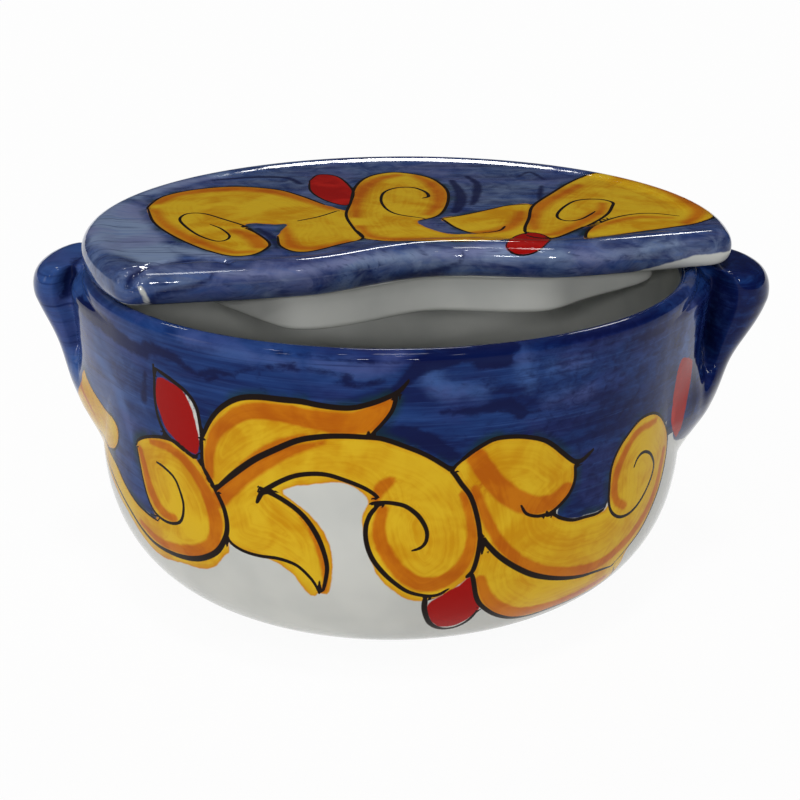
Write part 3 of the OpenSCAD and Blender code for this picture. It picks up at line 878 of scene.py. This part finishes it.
def wallRadius(z):
    b = bowl
    top = b["rimHeight"] - b["lip"]
    if z >= b["bellyHeight"]:
        share = min(1.0, (z - b["bellyHeight"]) / (top - b["bellyHeight"]))
        return b["bellyRadius"] + b["wallDraw"] * share ** b["drawPower"]
    share = (b["bellyHeight"] - z) / (b["bellyHeight"] - b["underside"])
    full = (1 - share ** b["bellyPower"]) ** (1 / b["bellyPower"])
    return b["baseRadius"] + (b["bellyRadius"] - b["baseRadius"]) * full


def wallCurve(wall, wide):
    # how far the round wall falls back at a distance to the side
    return math.sqrt(wall ** 2 - wide ** 2) - wall


def earFall(u):
    # share of the reach that is left on the way down: a round shoulder, then an even fall
    n = ear["shoulder"]
    line = ear["fallFrom"] - ear["fallBy"] * u
    return ((1 + line ** -n) / (1 + ear["fallFrom"] ** -n)) ** (-1 / n)


def earSections(piece):
    # down share, reach share, width share and bell share of each level ring
    sections = []
    for a in np.radians(np.linspace(ear["firstRing"], 90, ear["roundRings"])):
        full = math.sin(a) ** piece["square"]
        sections.append((ear["roundShare"] * (1 - math.cos(a)), full,
                         ear["topWidth"] + (1 - ear["topWidth"]) * full, 0.0))
    start, stop = ear["bell"]
    for u in np.linspace(0, 1, ear["fallRings"] + 1)[1:]:
        tip = max(0, (u - ear["taper"]) / (1 - ear["taper"]))
        belled = min(1, max(0, (u - start) / (stop - start)))
        sections.append((ear["roundShare"] + (1 - ear["roundShare"]) * u,
                         earFall(u) * (1 - ear["tipFall"] * tip ** 2),
                         1 - (1 - ear["endWidth"]) * u, eased(belled)))
    return sections


def earRing(z, wall, reach, half, neck, bell, dents):
    # half of a level ring from the root to the tip: how far out, and how far to the side;
    # above it is a lug on a neck, below a bell that runs out into the wall
    share = min(1, reach / ear["fullReach"])
    smoothed = share * eased(min(1, (earTop - z) / ear["swellFrom"]))
    swell = ear["swell"] * smoothed
    stem = half * neck
    root = stem + ear["spread"] * smoothed
    bulb = reach * ear["bulb"]

    def onWall(wide, t):
        return wallCurve(wall, wide) - ear["sunk"] * (1 - t)

    lug = []
    for t in np.linspace(0, 1, ear["rootPoints"], endpoint=False):     # clay smoothed along the wall
        wide = root + (stem - root) * t
        lug.append((onWall(wide, t) + swell * eased(t), wide))
    start = onWall(stem, 1) + swell
    for k in np.linspace(0, 1, ear["neckPoints"], endpoint=False):     # along the neck to the bulb
        lug.append((start + (bulb - start) * k, half * (neck + (1 - neck) * eased(k))))
    for a in np.linspace(0, math.pi / 2, ear["bulbPoints"]):           # round the bulb
        lug.append((bulb + (reach - bulb) * math.sin(a), half * math.cos(a)))
    outline = []
    for (out, wide), s in zip(lug, np.linspace(0, 1, len(lug))):
        low = ear["bellWidth"] * math.sqrt(share) * (1 - s)
        lowOut = onWall(low, s) + reach * (1 - (1 - s) ** 2) ** 2
        outline.append((out + (lowOut - out) * bell, wide + (low - wide) * bell))
    for depth, place, size in dents:
        dented = []
        for out, wide in outline:
            away = ((out / mm - place[0]) / size[0]) ** 2 + ((z / mm - place[1]) / size[1]) ** 2
            least = min(wide, ear["leastDented"] * half)
            dented.append((out, max(least, wide - depth * mm * math.exp(-away))))
        outline = dented
    return outline[:-1] + [(reach, 0.0)]


def makeEar(name, piece):
    rings, outs = [], []
    depth, middle, size = piece["pinch"]
    for down, reachShare, widthShare, bell in earSections(piece):
        z = earTop - ear["drop"] * down
        wall = wallRadius(z)
        reach = piece["reach"] * reachShare - depth * mm * math.exp(-((z / mm - middle) / size) ** 2)
        halfWidth = ear["width"] / 2 * widthShare
        half = earRing(z, wall, reach, halfWidth, piece["neck"], bell, piece["dents"])
        whole = [(out, -wide) for out, wide in half] + [(out, wide) for out, wide in half[-2::-1]]
        root = half[0][1]
        whole += [(wallCurve(wall, wide) - ear["behind"], wide)
                  for wide in np.linspace(root, -root, ear["backPoints"])]
        rings.append([(piece["side"] * (wall + out), across, z) for out, across in whole])
        outs += [out for out, across in whole]
    rings = np.array(rings)
    made = ringMesh(name, rings, [rings[0].mean(0), rings[-1].mean(0)], materials["ear"])
    return made, np.array(outs + [0.0, 0.0])


def paintEar(mesh, outs, piece):
    # blue all over, with the bowl's own painting running on over the root and the tail
    place = np.array([v.co for v in mesh.vertices])
    up = place[:, 2] / mm
    side = np.stack([outs / mm, up], 1)
    fields = scrollFields(place, bowl["rimHeight"] / mm - up)
    stem = ear["width"] / 2 * piece["neck"] / mm
    onRoot = (np.abs(place[:, 1]) / mm > stem + ear["pastNeck"]) & (side[:, 0] < ear["groove"])
    fields["ground"] = np.where(up < ear["blueTo"], fields["ground"], far)
    # dark all over: partly deep pigment, partly painted shade; with painted shade in the dents
    wash = piece["dark"] + np.interp(side[:, 0], *ear["outDark"])
    darkWashAndShade = np.maximum(brushField(side, piece["strokes"]), wash)
    fields["dark"] = np.where(onRoot, fields["dark"], darkWashAndShade)
    # thin all over and further down: on the left ear partly painted light of the lit side
    thin = piece["pale"] + np.interp(up, *ear["lowThin"])
    fields["pale"] = np.where(onRoot, fields["pale"], thin)
    keepFields(mesh, fields)


for name, piece in ear["pieces"].items():
    earPiece, earOuts = makeEar(name, piece)
    paintEar(earPiece.data, earOuts, piece)
    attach(earPiece, "pot")
    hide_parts(piece["node"])
print("ears luted on")


# the half lid: a slab with a rolled edge and a waved front, lying turned on the rim; sizes in mm

lid = {
    "over": 3.4,
    "rollHeight": 8.6,
    "rollWidth": 4.4,
    "rollPower": 2.3,
    "slabHeight": 8.1,
    "frontMid": 25.0,
    "frontWave": 8.0,
    "lobe": 33.0,
    "cornerFall": 2.0,
    "cornerSharp": 30,
    "turn": 15.5,
    "shift": 3.9,
    "seat": 0.3,
    "columns": 520,
    "topRings": 84,
    "rollRings": 22,
    "underRings": 12,
    "riseSteps": 6,            # from the slab up on to the roll
    "riseWidth": 5.0,
    "edgeSteps": 6000,         # of the outline that the columns are taken from
    "edgeRounds": 60,          # of closing in on the waved edge
    "edgeLimit": 300,          # how far out it is looked for
    "leastSine": 1e-3,         # keeps the front's distance finite beside the centre line
    "frontSine": 0.02,         # of the angle at which the front begins
    "leastLean": 0.45,         # least cosine between a spoke of the mesh and the way in from the edge
    "creaseFrom": 0.6,         # creases lie above this share of the roll's height
    "middle": (0.0, 16.0),     # the mesh fans out from here
    # creases where the rolls meet at the left corner: depth, width, and the line
    "creases": [
        (1.1, 1.0, [(-70.5, -31), (-66.5, -27), (-61.8, -23.6), (-53.7, -21.4), (-49.5, -23.6), (-48, -27)]),
        (1.4, 1.0, [(-70, -30.2), (-68, -32), (-66.3, -34.5)]),
    ],
}
lid["radius"] = bowl["rimRadius"] / mm + lid["over"]


def frontEdge(x):
    # distance of the front edge from the lid's centre line
    a = np.abs(x)
    within = np.minimum(a / lid["lobe"], 1)
    beyond = np.clip((a - lid["lobe"]) / (lid["radius"] - lid["lobe"]), 0, 1)
    wave = lid["frontWave"] * (1 - np.cos(np.pi * within)) / 2
    return lid["frontMid"] + wave - lid["cornerFall"] * (1 - np.cos(np.pi * beyond)) / 2


def lidOutline():
    a = np.linspace(0, 2 * np.pi, lid["edgeSteps"], endpoint=False)
    down = np.maximum(-np.sin(a), lid["leastSine"])
    line = (lid["frontMid"] + lid["frontWave"] / 2) / down
    for _ in range(lid["edgeRounds"]):
        x = np.minimum(line, lid["edgeLimit"]) * np.cos(a)
        line = 0.5 * line + 0.5 * frontEdge(x) / down
    n = lid["cornerSharp"]
    both = (lid["radius"] ** -n + line ** -n) ** (-1 / n)
    radius = np.where(np.sin(a) < -lid["frontSine"], both, lid["radius"])
    edge = np.stack([radius * np.cos(a), radius * np.sin(a)], 1)
    closed = np.vstack([edge, edge[:1]])
    run = np.concatenate([[0], np.cumsum(np.hypot(*np.diff(closed, axis=0).T))])
    stops = np.linspace(0, run[-1], lid["columns"], endpoint=False)
    return np.stack([np.interp(stops, run, closed[:, 0]), np.interp(stops, run, closed[:, 1])], 1)


def onRim(points):
    # from the lid's own frame, in mm, to where the lid lies on the rim, in metres
    x, y, z = np.moveaxis(points, -1, 0)
    a = math.radians(lid["turn"])
    return np.stack([x * math.cos(a) - y * math.sin(a) + lid["shift"], x * math.sin(a) + y * math.cos(a),
                     z + lid["seat"] + bowl["rimHeight"] / mm], -1) * mm


def level(flat, z):
    return np.column_stack([flat, np.full(len(flat), z)])


def lidRings():
    edge = lidOutline()
    middle = np.array(lid["middle"])
    along = np.roll(edge, -1, 0) - np.roll(edge, 1, 0)
    inward = np.stack([-along[:, 1], along[:, 0]], 1)
    inward /= np.linalg.norm(inward, axis=1)[:, None]
    spoke = middle - edge
    spoke /= np.linalg.norm(spoke, axis=1)[:, None]
    lean = np.maximum((spoke * inward).sum(1), lid["leastLean"])

    def inset(d):
        return edge + spoke * (d / lean)[:, None]

    def toMiddle(ring, share):
        return middle + (ring - middle) * share

    slab = lid["rollWidth"] + lid["riseWidth"]
    rise = lid["rollHeight"] - lid["slabHeight"]
    rings = [level(toMiddle(inset(slab), share), lid["slabHeight"])
             for share in np.linspace(0, 1, lid["topRings"])[1:]]
    for k in np.linspace(0, 1, lid["riseSteps"] + 1)[1:-1]:
        rings.append(level(inset(slab + (lid["rollWidth"] - slab) * k), lid["slabHeight"] + rise * eased(k)))
    power = 2 / lid["rollPower"]
    for a in np.radians(np.linspace(90, -90, lid["rollRings"])):
        out = abs(math.cos(a)) ** power
        up = math.copysign(abs(math.sin(a)) ** power, math.sin(a))
        rings.append(level(inset(lid["rollWidth"] * (1 - out)), lid["rollHeight"] / 2 * (1 + up)))
    for share in np.linspace(1, 0, lid["underRings"])[1:-1]:
        rings.append(level(toMiddle(inset(lid["rollWidth"]), share), 0.0))
    rings = np.array(rings)
    for depth, width, points in lid["creases"]:
        gap = nearest(rings[:, :, :2].reshape(-1, 2), throughPoints(points))[0].reshape(rings.shape[:2])
        onTop = rings[:, :, 2] > lid["rollHeight"] * lid["creaseFrom"]
        rings[:, :, 2] -= np.where(onTop, depth * np.exp(-(gap / width) ** 2), 0)
    return rings


lidSkin = lidRings()
lidEnds = np.array([[*lid["middle"], lid["slabHeight"]], [*lid["middle"], 0.0]])
lidPoints = np.vstack([lidSkin.reshape(-1, 3), lidEnds])
paintedLid = ringMesh("painted_lid", onRim(lidSkin), onRim(lidEnds), materials["lid"])
print("lid shaped:", len(lidPoints), "points")


# the scrolls on the lid: places in mm from the lid's centre, the waved front towards minus y

lidScrolls = {
    "yellow": [
        [(-60, 30), (-55, 41), (-46, 47), (-35, 48), (-25, 42), (-20, 33), (-16, 22), (-12, 13), (-13, 4),
         (-14, -13), (-21, -18), (-28, -22), (-32, -21), (-34, -15), (-33, -6), (-29, 4), (-32, 5),
         (-37, 7.5), (-39, 5), (-37.5, -2), (-36, -12), (-38, -18), (-42, -22), (-47, -21), (-52, -13),
         (-57, 0), (-60, 14)],
        [(-13, 10), (-9, 23), (-4, 40), (2, 51), (9, 55), (14, 52.5), (18, 46), (19, 37), (18, 27),
         (14, 14), (9, 4), (3, 0), (3, -6), (6, -13), (11, -15.5), (19, -16.5), (25, -17), (24, -21),
         (16, -24), (10, -23.5), (0, -21), (-4, -20), (-10, -17), (-14, -13), (-14, -3)],
        [(9, 1), (15, 3), (23, 7), (29, 10), (35, 10), (32, -1), (27, -13), (24, -19), (19, -19), (13, -16),
         (10, -9)],
        [(26, -13), (30, -4), (35, 8), (44, 20), (53, 31), (61, 38), (68.5, 36), (74, 27), (77.3, 14),
         (78, 2), (76.5, -9), (72, -17.5), (60, -21.5), (51, -23.5), (44, -25.5), (36, -28), (39.5, -20),
         (44, -14), (37, -18.5), (30, -24), (26, -23), (24, -19)],
    ],
    "orange": [
        ((1.5, 2.6, 1.5), [(-57, 34), (-52, 41.5), (-44, 45), (-35, 45), (-26, 39), (-20, 29), (-15, 17)]),
        ((1.2, 2.0, 1.2), [(-58.5, 27), (-58, 14), (-55, 1), (-50.5, -10), (-46, -18), (-41, -19)]),
        ((2.0, 2.4, 1.4), [(-38.5, -15), (-39, -6), (-42, 2)]),
        ((1.0, 2.2, 1.2), [(-30, 0), (-31, -9), (-31, -17), (-26, -19.5), (-18, -15)]),
        ((1.2, 2.2, 1.6), [(-11, 8), (-7.5, 23), (-2, 38), (4, 47.5), (10, 51)]),
        ((1.4, 2.4, 1.2), [(15, 49), (16.5, 40), (16, 28), (12, 15), (7, 6)]),
        ((1.0, 2.0, 1.0), [(-12, -2), (-11.5, -12), (-5, -17), (3, -19), (12, -20.5)]),
        ((1.0, 2.0, 1.4), [(13, -14), (19, -14), (25, -8), (30, 2)]),
        ((1.2, 2.2, 1.4), [(28, -14), (32, -2), (38, 9), (46, 18), (54, 27)]),
        ((1.4, 2.6, 1.6), [(68, 33), (73, 23), (75, 8), (73.5, -8), (66, -18)]),
        ((1.0, 1.8, 1.0), [(27, -21), (33, -19.5), (42, -10), (50, -1), (53, 6)]),
        ((0.8, 1.4, 0.6), [(40, -20), (47, -13.5), (56, -9.5), (64, -12)]),
    ],
    "red": [
        [(-14.5, 50), (-10.5, 57), (-6, 53), (-5.5, 37), (-8, 26), (-11, 20), (-15, 27), (-16.5, 38)],
        [(16.6, -28), (18.6, -24), (21.9, -19.8), (25.6, -17.8), (28, -20.1), (28.2, -25.6), (24.4, -31.1),
         (20.7, -32), (17.7, -30.5)],
    ],
    "ink": [
        ((0.3, 0.4, 0.4), [(-59.5, 28), (-60, 30), (-55, 41), (-46, 47), (-35, 48), (-25, 42), (-20, 33),
            (-16, 22)]),
        ((0.35, 0.4, 0.35), [(-60, 30), (-60, 14), (-57, 0), (-52, -13), (-47, -21), (-42, -22), (-38, -18),
            (-36, -12), (-37.5, -2), (-40, 5)]),
        ((0.35, 0.4, 0.3), [(-37.5, -2), (-39, 5), (-43, 13), (-47, 20), (-51, 21), (-53.5, 16), (-53, 8),
            (-51, -1), (-48, -7), (-45.5, -7), (-44, -3), (-45, 4), (-47, 9)]),
        ((0.3, 0.4, 0.35), [(-33, -6), (-34, -15), (-32, -21), (-28, -22), (-21, -18), (-14, -13),
            (-14, -3)]),
        ((0.3, 0.35, 0.3), [(-26, 7), (-20, 10), (-14, 15)]),
        ((0.4, 0.45, 0.4), [(-14, -13), (-14, -3), (-13, 10), (-9, 23), (-4, 40), (2, 51), (9, 55),
            (14, 52.5), (18, 46), (19, 37), (18, 27), (14, 14), (9, 4), (3, 0)]),
        ((0.35, 0.45, 0.5), [(5, 2), (-1, 9), (-1.5, 20), (1.5, 31), (6, 36), (10.5, 35.5), (12.5, 30),
            (12, 24.5), (10, 23)]),
        ((0.3, 0.35, 0.3), [(-14, -13), (-10, -17), (-4, -20), (0, -21), (10, -23.5), (16, -24)]),
        ((0.4, 0.4, 0.35), [(9, 1), (10, -9), (13, -15), (19, -14), (22, -10)]),
        ((0.3, 0.35, 0.3), [(9, 1), (15, 3), (23, 7), (29, 10), (35, 10)]),
        ((0.45, 0.45, 0.4), [(24.5, -19), (26, -13), (30, -4), (35, 8), (44, 20), (53, 31), (61, 38),
            (68.5, 36), (74, 27), (77.3, 14)]),
        ((0.45, 0.45, 0.35), [(24, -20), (26, -23), (30, -24), (37, -18.5), (44, -12), (50, -5), (54, 2),
            (56, 7), (53.5, 11), (48, 11), (43, 6), (38.5, -1), (37, -6), (38.5, -9), (42, -8), (46, -4),
            (48.5, -1)]),
        ((0.4, 0.4, 0.3), [(77.3, 14), (78, 2), (76.5, -9), (72, -17.5), (60, -21.5), (51, -23.5),
            (44, -25.5), (36, -28)]),
        ((0.4, 0.4, 0.3), [(36, -28), (39.5, -20), (46, -12), (54, -7), (61, -6.5), (67, -11)]),
        ((0.3, 0.35, 0.3), [(-14.5, 50), (-10.5, 57), (-6, 53), (-5.5, 37), (-8, 26), (-11, 20), (-15, 27),
            (-16.5, 38), (-14.5, 50)]),
        ((0.2, 0.25, 0.2), [(16.6, -28), (18.6, -24), (21.9, -19.8), (25.6, -17.8), (28, -20.1),
            (28.2, -25.6), (24.4, -31.1), (20.7, -32), (17.7, -30.5), (16.6, -28)]),
    ],
    "dark": [
        ((0.6, 0.9, 0.6), [(-70.4, -33), (-69.8, -31.6), (-68.1, -29.3), (-61.8, -24.3), (-53.7, -22),
            (-49.5, -24.6), (-48, -29.9)]),
        ((0.4, 0.6, 0.3), [(-65.6, -36), (-62.9, -35.3), (-57.8, -35.2), (-53, -34), (-51.9, -32.5)]),
        ((0.9, 1.3, 0.8), [(28.4, 45), (28.2, 34.5), (23, 19), (20.3, 12.9)]),
        ((1.0, 1.8, 1.2), [(22.9, 41), (21, 26), (17.3, 13.7), (13.9, 6.4)]),
        ((0.6, 0.9, 0.6), [(44.4, 29), (41, 20), (38.8, 14.3)]),
        ((0.5, 0.8, 0.5), [(41.4, 40.7), (46.7, 45.8), (47.6, 35.9)]),
        ((0.3, 0.5, 0.3), [(-20, -37), (-8.2, -31), (0.5, -29.8), (6.1, -28.9), (6.8, -27)]),
        ((0.6, 1.2, 0.5), [(35.6, -24.9), (40.4, -18.4), (48.9, -8.6)]),
        ((0.8, 1.4, 0.8), [(-40, 57), (-28, 58), (-20, 55), (-17.5, 47)]),
        ((0.8, 1.4, 0.6), [(-36.5, 2), (-34.5, -8), (-35, -17)]),
    ],
    "pale": [
        ((7.0, 9.0, 6.0), [(-68, 28), (-69, 8), (-67, -8), (-63, -18)]),
        ((1.5, 3.0, 2.0), [(-62, -6), (-57, -13), (-51, -18.5), (-44, -24)]),
        ((0.6, 2.0, 2.2), [(-50, -33), (-33, -34), (-16, -29), (0, -26.5), (16, -29)]),
        ((1.6, 1.2, 0.3), [(16, -31), (33, -35), (48, -34), (67, -31)]),
        ((1.2, 2.2, 1.2), [(-62, 40), (-50, 53), (-36, 62)]),
    ],
    "bare": [
        ((0.35, 0.4, 0.6), [(-67.8, -33.6), (-66.9, -35.3), (-66.3, -36.4)]),
        ((0.4, 0.7, 0.5), [(71.2, -34.4), (70, -35.3), (68.8, -35.6)]),
    ],
    "wash": -0.8,       # thin pigment everywhere
    "slope": 0.8,       # how fast the painting runs on down the front of the roll
    "frontFrom": -15,   # the front is ahead of this
    "paintFrom": 0.3,   # the painting ends this far above the underside
    # the glaze is bare white below these heights, at places from the left to the right
    "whiteBelow": ((-72, -50, 40, 62), (1.0, -1.0, -1.0, 3.8)),
}


def paintLid(mesh, points):
    flat = points[:, :2].copy()
    high = points[:, 2]
    front = flat[:, 1] < lidScrolls["frontFrom"]
    flat[:, 1] -= np.where(front, lidScrolls["slope"] * (lid["rollHeight"] - high), 0)
    top = high > lidScrolls["paintFrom"]
    whiteBelow = np.interp(flat[:, 0], *lidScrolls["whiteBelow"])
    fields = {"ground": np.minimum(high - whiteBelow, -brushField(flat, lidScrolls["bare"]))}
    fields["yellow"] = fillField(flat, lidScrolls["yellow"])
    fields["red"] = fillField(flat, lidScrolls["red"])
    for name in ("orange", "dark", "pale"):
        fields[name] = brushField(flat, lidScrolls[name])
    fields["pale"] = np.maximum(fields["pale"], lidScrolls["wash"])
    for name in ("yellow", "red", "orange"):
        fields[name] = np.where(top, fields[name], -far)
    across, past = inkFields(flat, lidScrolls["ink"])
    fields["inkAcross"], fields["inkGap"] = np.where(top, across, far), np.where(top, past, far)
    keepFields(mesh, fields)


paintLid(paintedLid.data, lidPoints)
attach(paintedLid, "lid")
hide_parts("lid_plate", "lid_rim_roll", "lid_front_roll")
print("lid painted")


# the flange under the lid, which keeps it from sliding off the rim; sizes in mm

flange = {
    "height": 9.0,
    "thick": 4.0,
    "room": 3.0,
    # cuts across the front corners: degrees from the front and distance from the lid's centre
    "leftCut": (-63, 44.0),
    "lobeCut": (51, 41.0),
    "rightCut": (22, 33.0),
    "softness": 14.0,
    "fillet": 1.2,
    "edge": 1.5,
    "columns": 360,
    "root": 0.25,              # it goes this far up into the slab
    "leastSine": 0.05,         # where a cut or the front runs almost along a spoke
    "filletRings": 8,
    "wallSteps": 5,
    "edgeRings": 12,
    "innerRings": 4,
    "middle": (0, 10),         # the mesh is closed towards here, inside the slab
}
flange["radius"] = lid["radius"] - lid["over"] - bowl["wall"] / mm - flange["room"] - lid["shift"]


def flangeRing(inset, z):
    # a circle cut by the front edge and across the front corners, with soft meetings
    a = np.linspace(0, 2 * np.pi, flange["columns"], endpoint=False)
    n = flange["softness"]
    down = -np.sin(a)
    ahead = down > flange["leastSine"]
    safe = np.where(ahead, down, 1)
    x = np.where(ahead, (lid["frontMid"] + lid["frontWave"] / 2) * np.cos(a) / safe, lid["radius"])
    front = np.where(ahead, ((frontEdge(x) - lid["rollWidth"] - inset) / safe) ** -n, 0)

    def cut(turn, distance):
        lean = np.cos(np.arctan2(np.cos(a), down) - math.radians(turn))
        return (distance - inset) / np.maximum(lean, flange["leastSine"])

    left = cut(*flange["leftCut"]) ** -n
    right = (cut(*flange["lobeCut"]) ** n + cut(*flange["rightCut"]) ** n) ** -1.0
    radius = ((flange["radius"] - inset) ** -n + front + left + right) ** (-1 / n)
    return level(np.column_stack([radius * np.cos(a), radius * np.sin(a)]), z)


def flangeRings():
    fillet, edge, low = flange["fillet"], flange["edge"], -flange["height"]
    rings = [flangeRing(-fillet, flange["root"])]
    for a in np.radians(np.linspace(90, 0, flange["filletRings"])):        # the corner under the slab
        rings.append(flangeRing(-fillet * (1 - math.cos(a)), -fillet * (1 - math.sin(a))))
    for share in np.linspace(0, 1, flange["wallSteps"] + 1)[1:-1]:
        rings.append(flangeRing(0.0, -fillet + (low + edge + fillet) * share))
    for a in np.radians(np.linspace(0, 180, flange["edgeRings"])):         # the rounded lower edge
        rings.append(flangeRing(flange["thick"] / 2 * (1 - math.cos(a)), low + edge * (1 - math.sin(a))))
    for share in np.linspace(0, 1, flange["innerRings"] + 1)[1:]:
        rings.append(flangeRing(flange["thick"], (low + edge) * (1 - share) + flange["root"] * share))
    return np.array(rings)


flangeEnd = [*flange["middle"], flange["root"]]
lidFlange = ringMesh("lid_flange", onRim(flangeRings()), onRim(np.array([flangeEnd, flangeEnd])),
                     materials["flange"])
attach(lidFlange, "lid")
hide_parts("lid_flange")
print("flange shaped")


# floor, lamps and surroundings

studio = {
    "floorHalf": 40.0,
    "floorColour": colour(250, 250, 249),
    "floorRough": 0.9,
    "floorGlow": 0.95,         # share of the floor that the camera and reflections see as plain white
    "sky": (0.03, 0.3),        # from low down to overhead
    "skyFrom": (0.42, 0.95),   # sine of the heights between which it brightens
    # azimuth from the front towards the right, height above the horizon, strength, and width in degrees
    "lamps": [(10, 17, 0.55, 4), (-9, 18, 0.38, 4), (-38, 25, 0.16, 6), (-75, 15, 0.3, 20),
              (10, 78, 0.72, 12), (168, 30, 0.14, 5), (181, 28, 0.16, 6), (205, 36, 0.14, 5),
              (-55, 50, 0.12, 3.5), (-25, 62, 0.14, 3.5), (5, 55, 0.12, 3.5), (32, 48, 0.1, 3.5)],
}


def makeFloor():
    half = studio["floorHalf"]
    mesh = bpy.data.meshes.new("floor")
    corners = [(-half, -half, 0), (half, -half, 0), (half, half, 0), (-half, half, 0)]
    mesh.from_pydata(corners, [], [(0, 1, 2, 3)])
    made = bpy.data.objects.new("floor", mesh)
    scene.collection.objects.link(made)
    paint = bpy.data.materials.new("pale_floor")
    paint.use_nodes = True
    tree = paint.node_tree
    shader = tree.nodes["Principled BSDF"]
    shader.inputs["Base Color"].default_value = studio["floorColour"]
    shader.inputs["Roughness"].default_value = studio["floorRough"]
    shader.inputs["Specular IOR Level"].default_value = 0.0
    ray = addNode(tree, "ShaderNodeLightPath").outputs
    seen = maths(tree, "MAXIMUM", ray["Is Camera Ray"], ray["Is Glossy Ray"])
    seen = maths(tree, "MAXIMUM", seen, ray["Is Transmission Ray"])
    glow = addNode(tree, "ShaderNodeEmission", {"Color": (1, 1, 1, 1), "Strength": 1.0})
    blend = addNode(tree, "ShaderNodeMixShader", {0: maths(tree, "MULTIPLY", seen, studio["floorGlow"]),
                                                  1: shader.outputs[0], 2: glow.outputs[0]})
    tree.links.new(blend.outputs[0], tree.nodes["Material Output"].inputs["Surface"])
    mesh.materials.append(paint)
    return made


makeFloor()
for number, (azimuth, height, strength, width) in enumerate(studio["lamps"]):
    lamp = bpy.data.lights.new(f"lamp_{number}", "SUN")
    lamp.energy = strength
    lamp.angle = math.radians(width)
    lampObject = bpy.data.objects.new(lamp.name, lamp)
    a, e = math.radians(azimuth), math.radians(height)
    toLamp = Vector((math.sin(a) * math.cos(e), -math.cos(a) * math.cos(e), math.sin(e)))
    lampObject.rotation_euler = toLamp.to_track_quat("Z", "Y").to_euler()
    scene.collection.objects.link(lampObject)
world = bpy.data.worlds.new("surround")
world.use_nodes = True
sky = world.node_tree
way = addNode(sky, "ShaderNodeTexCoord").outputs["Generated"]
height = addNode(sky, "ShaderNodeSeparateXYZ", {0: way}).outputs["Z"]
glow = addNode(sky, "ShaderNodeMapRange", {
    "Value": height, "From Min": studio["skyFrom"][0], "From Max": studio["skyFrom"][1],
    "To Min": studio["sky"][0], "To Max": studio["sky"][1]})
sky.nodes["Background"].inputs["Color"].default_value = (1, 1, 1, 1)
sky.links.new(glow.outputs["Result"], sky.nodes["Background"].inputs["Strength"])
scene.world = world
print("floor and lamps set")
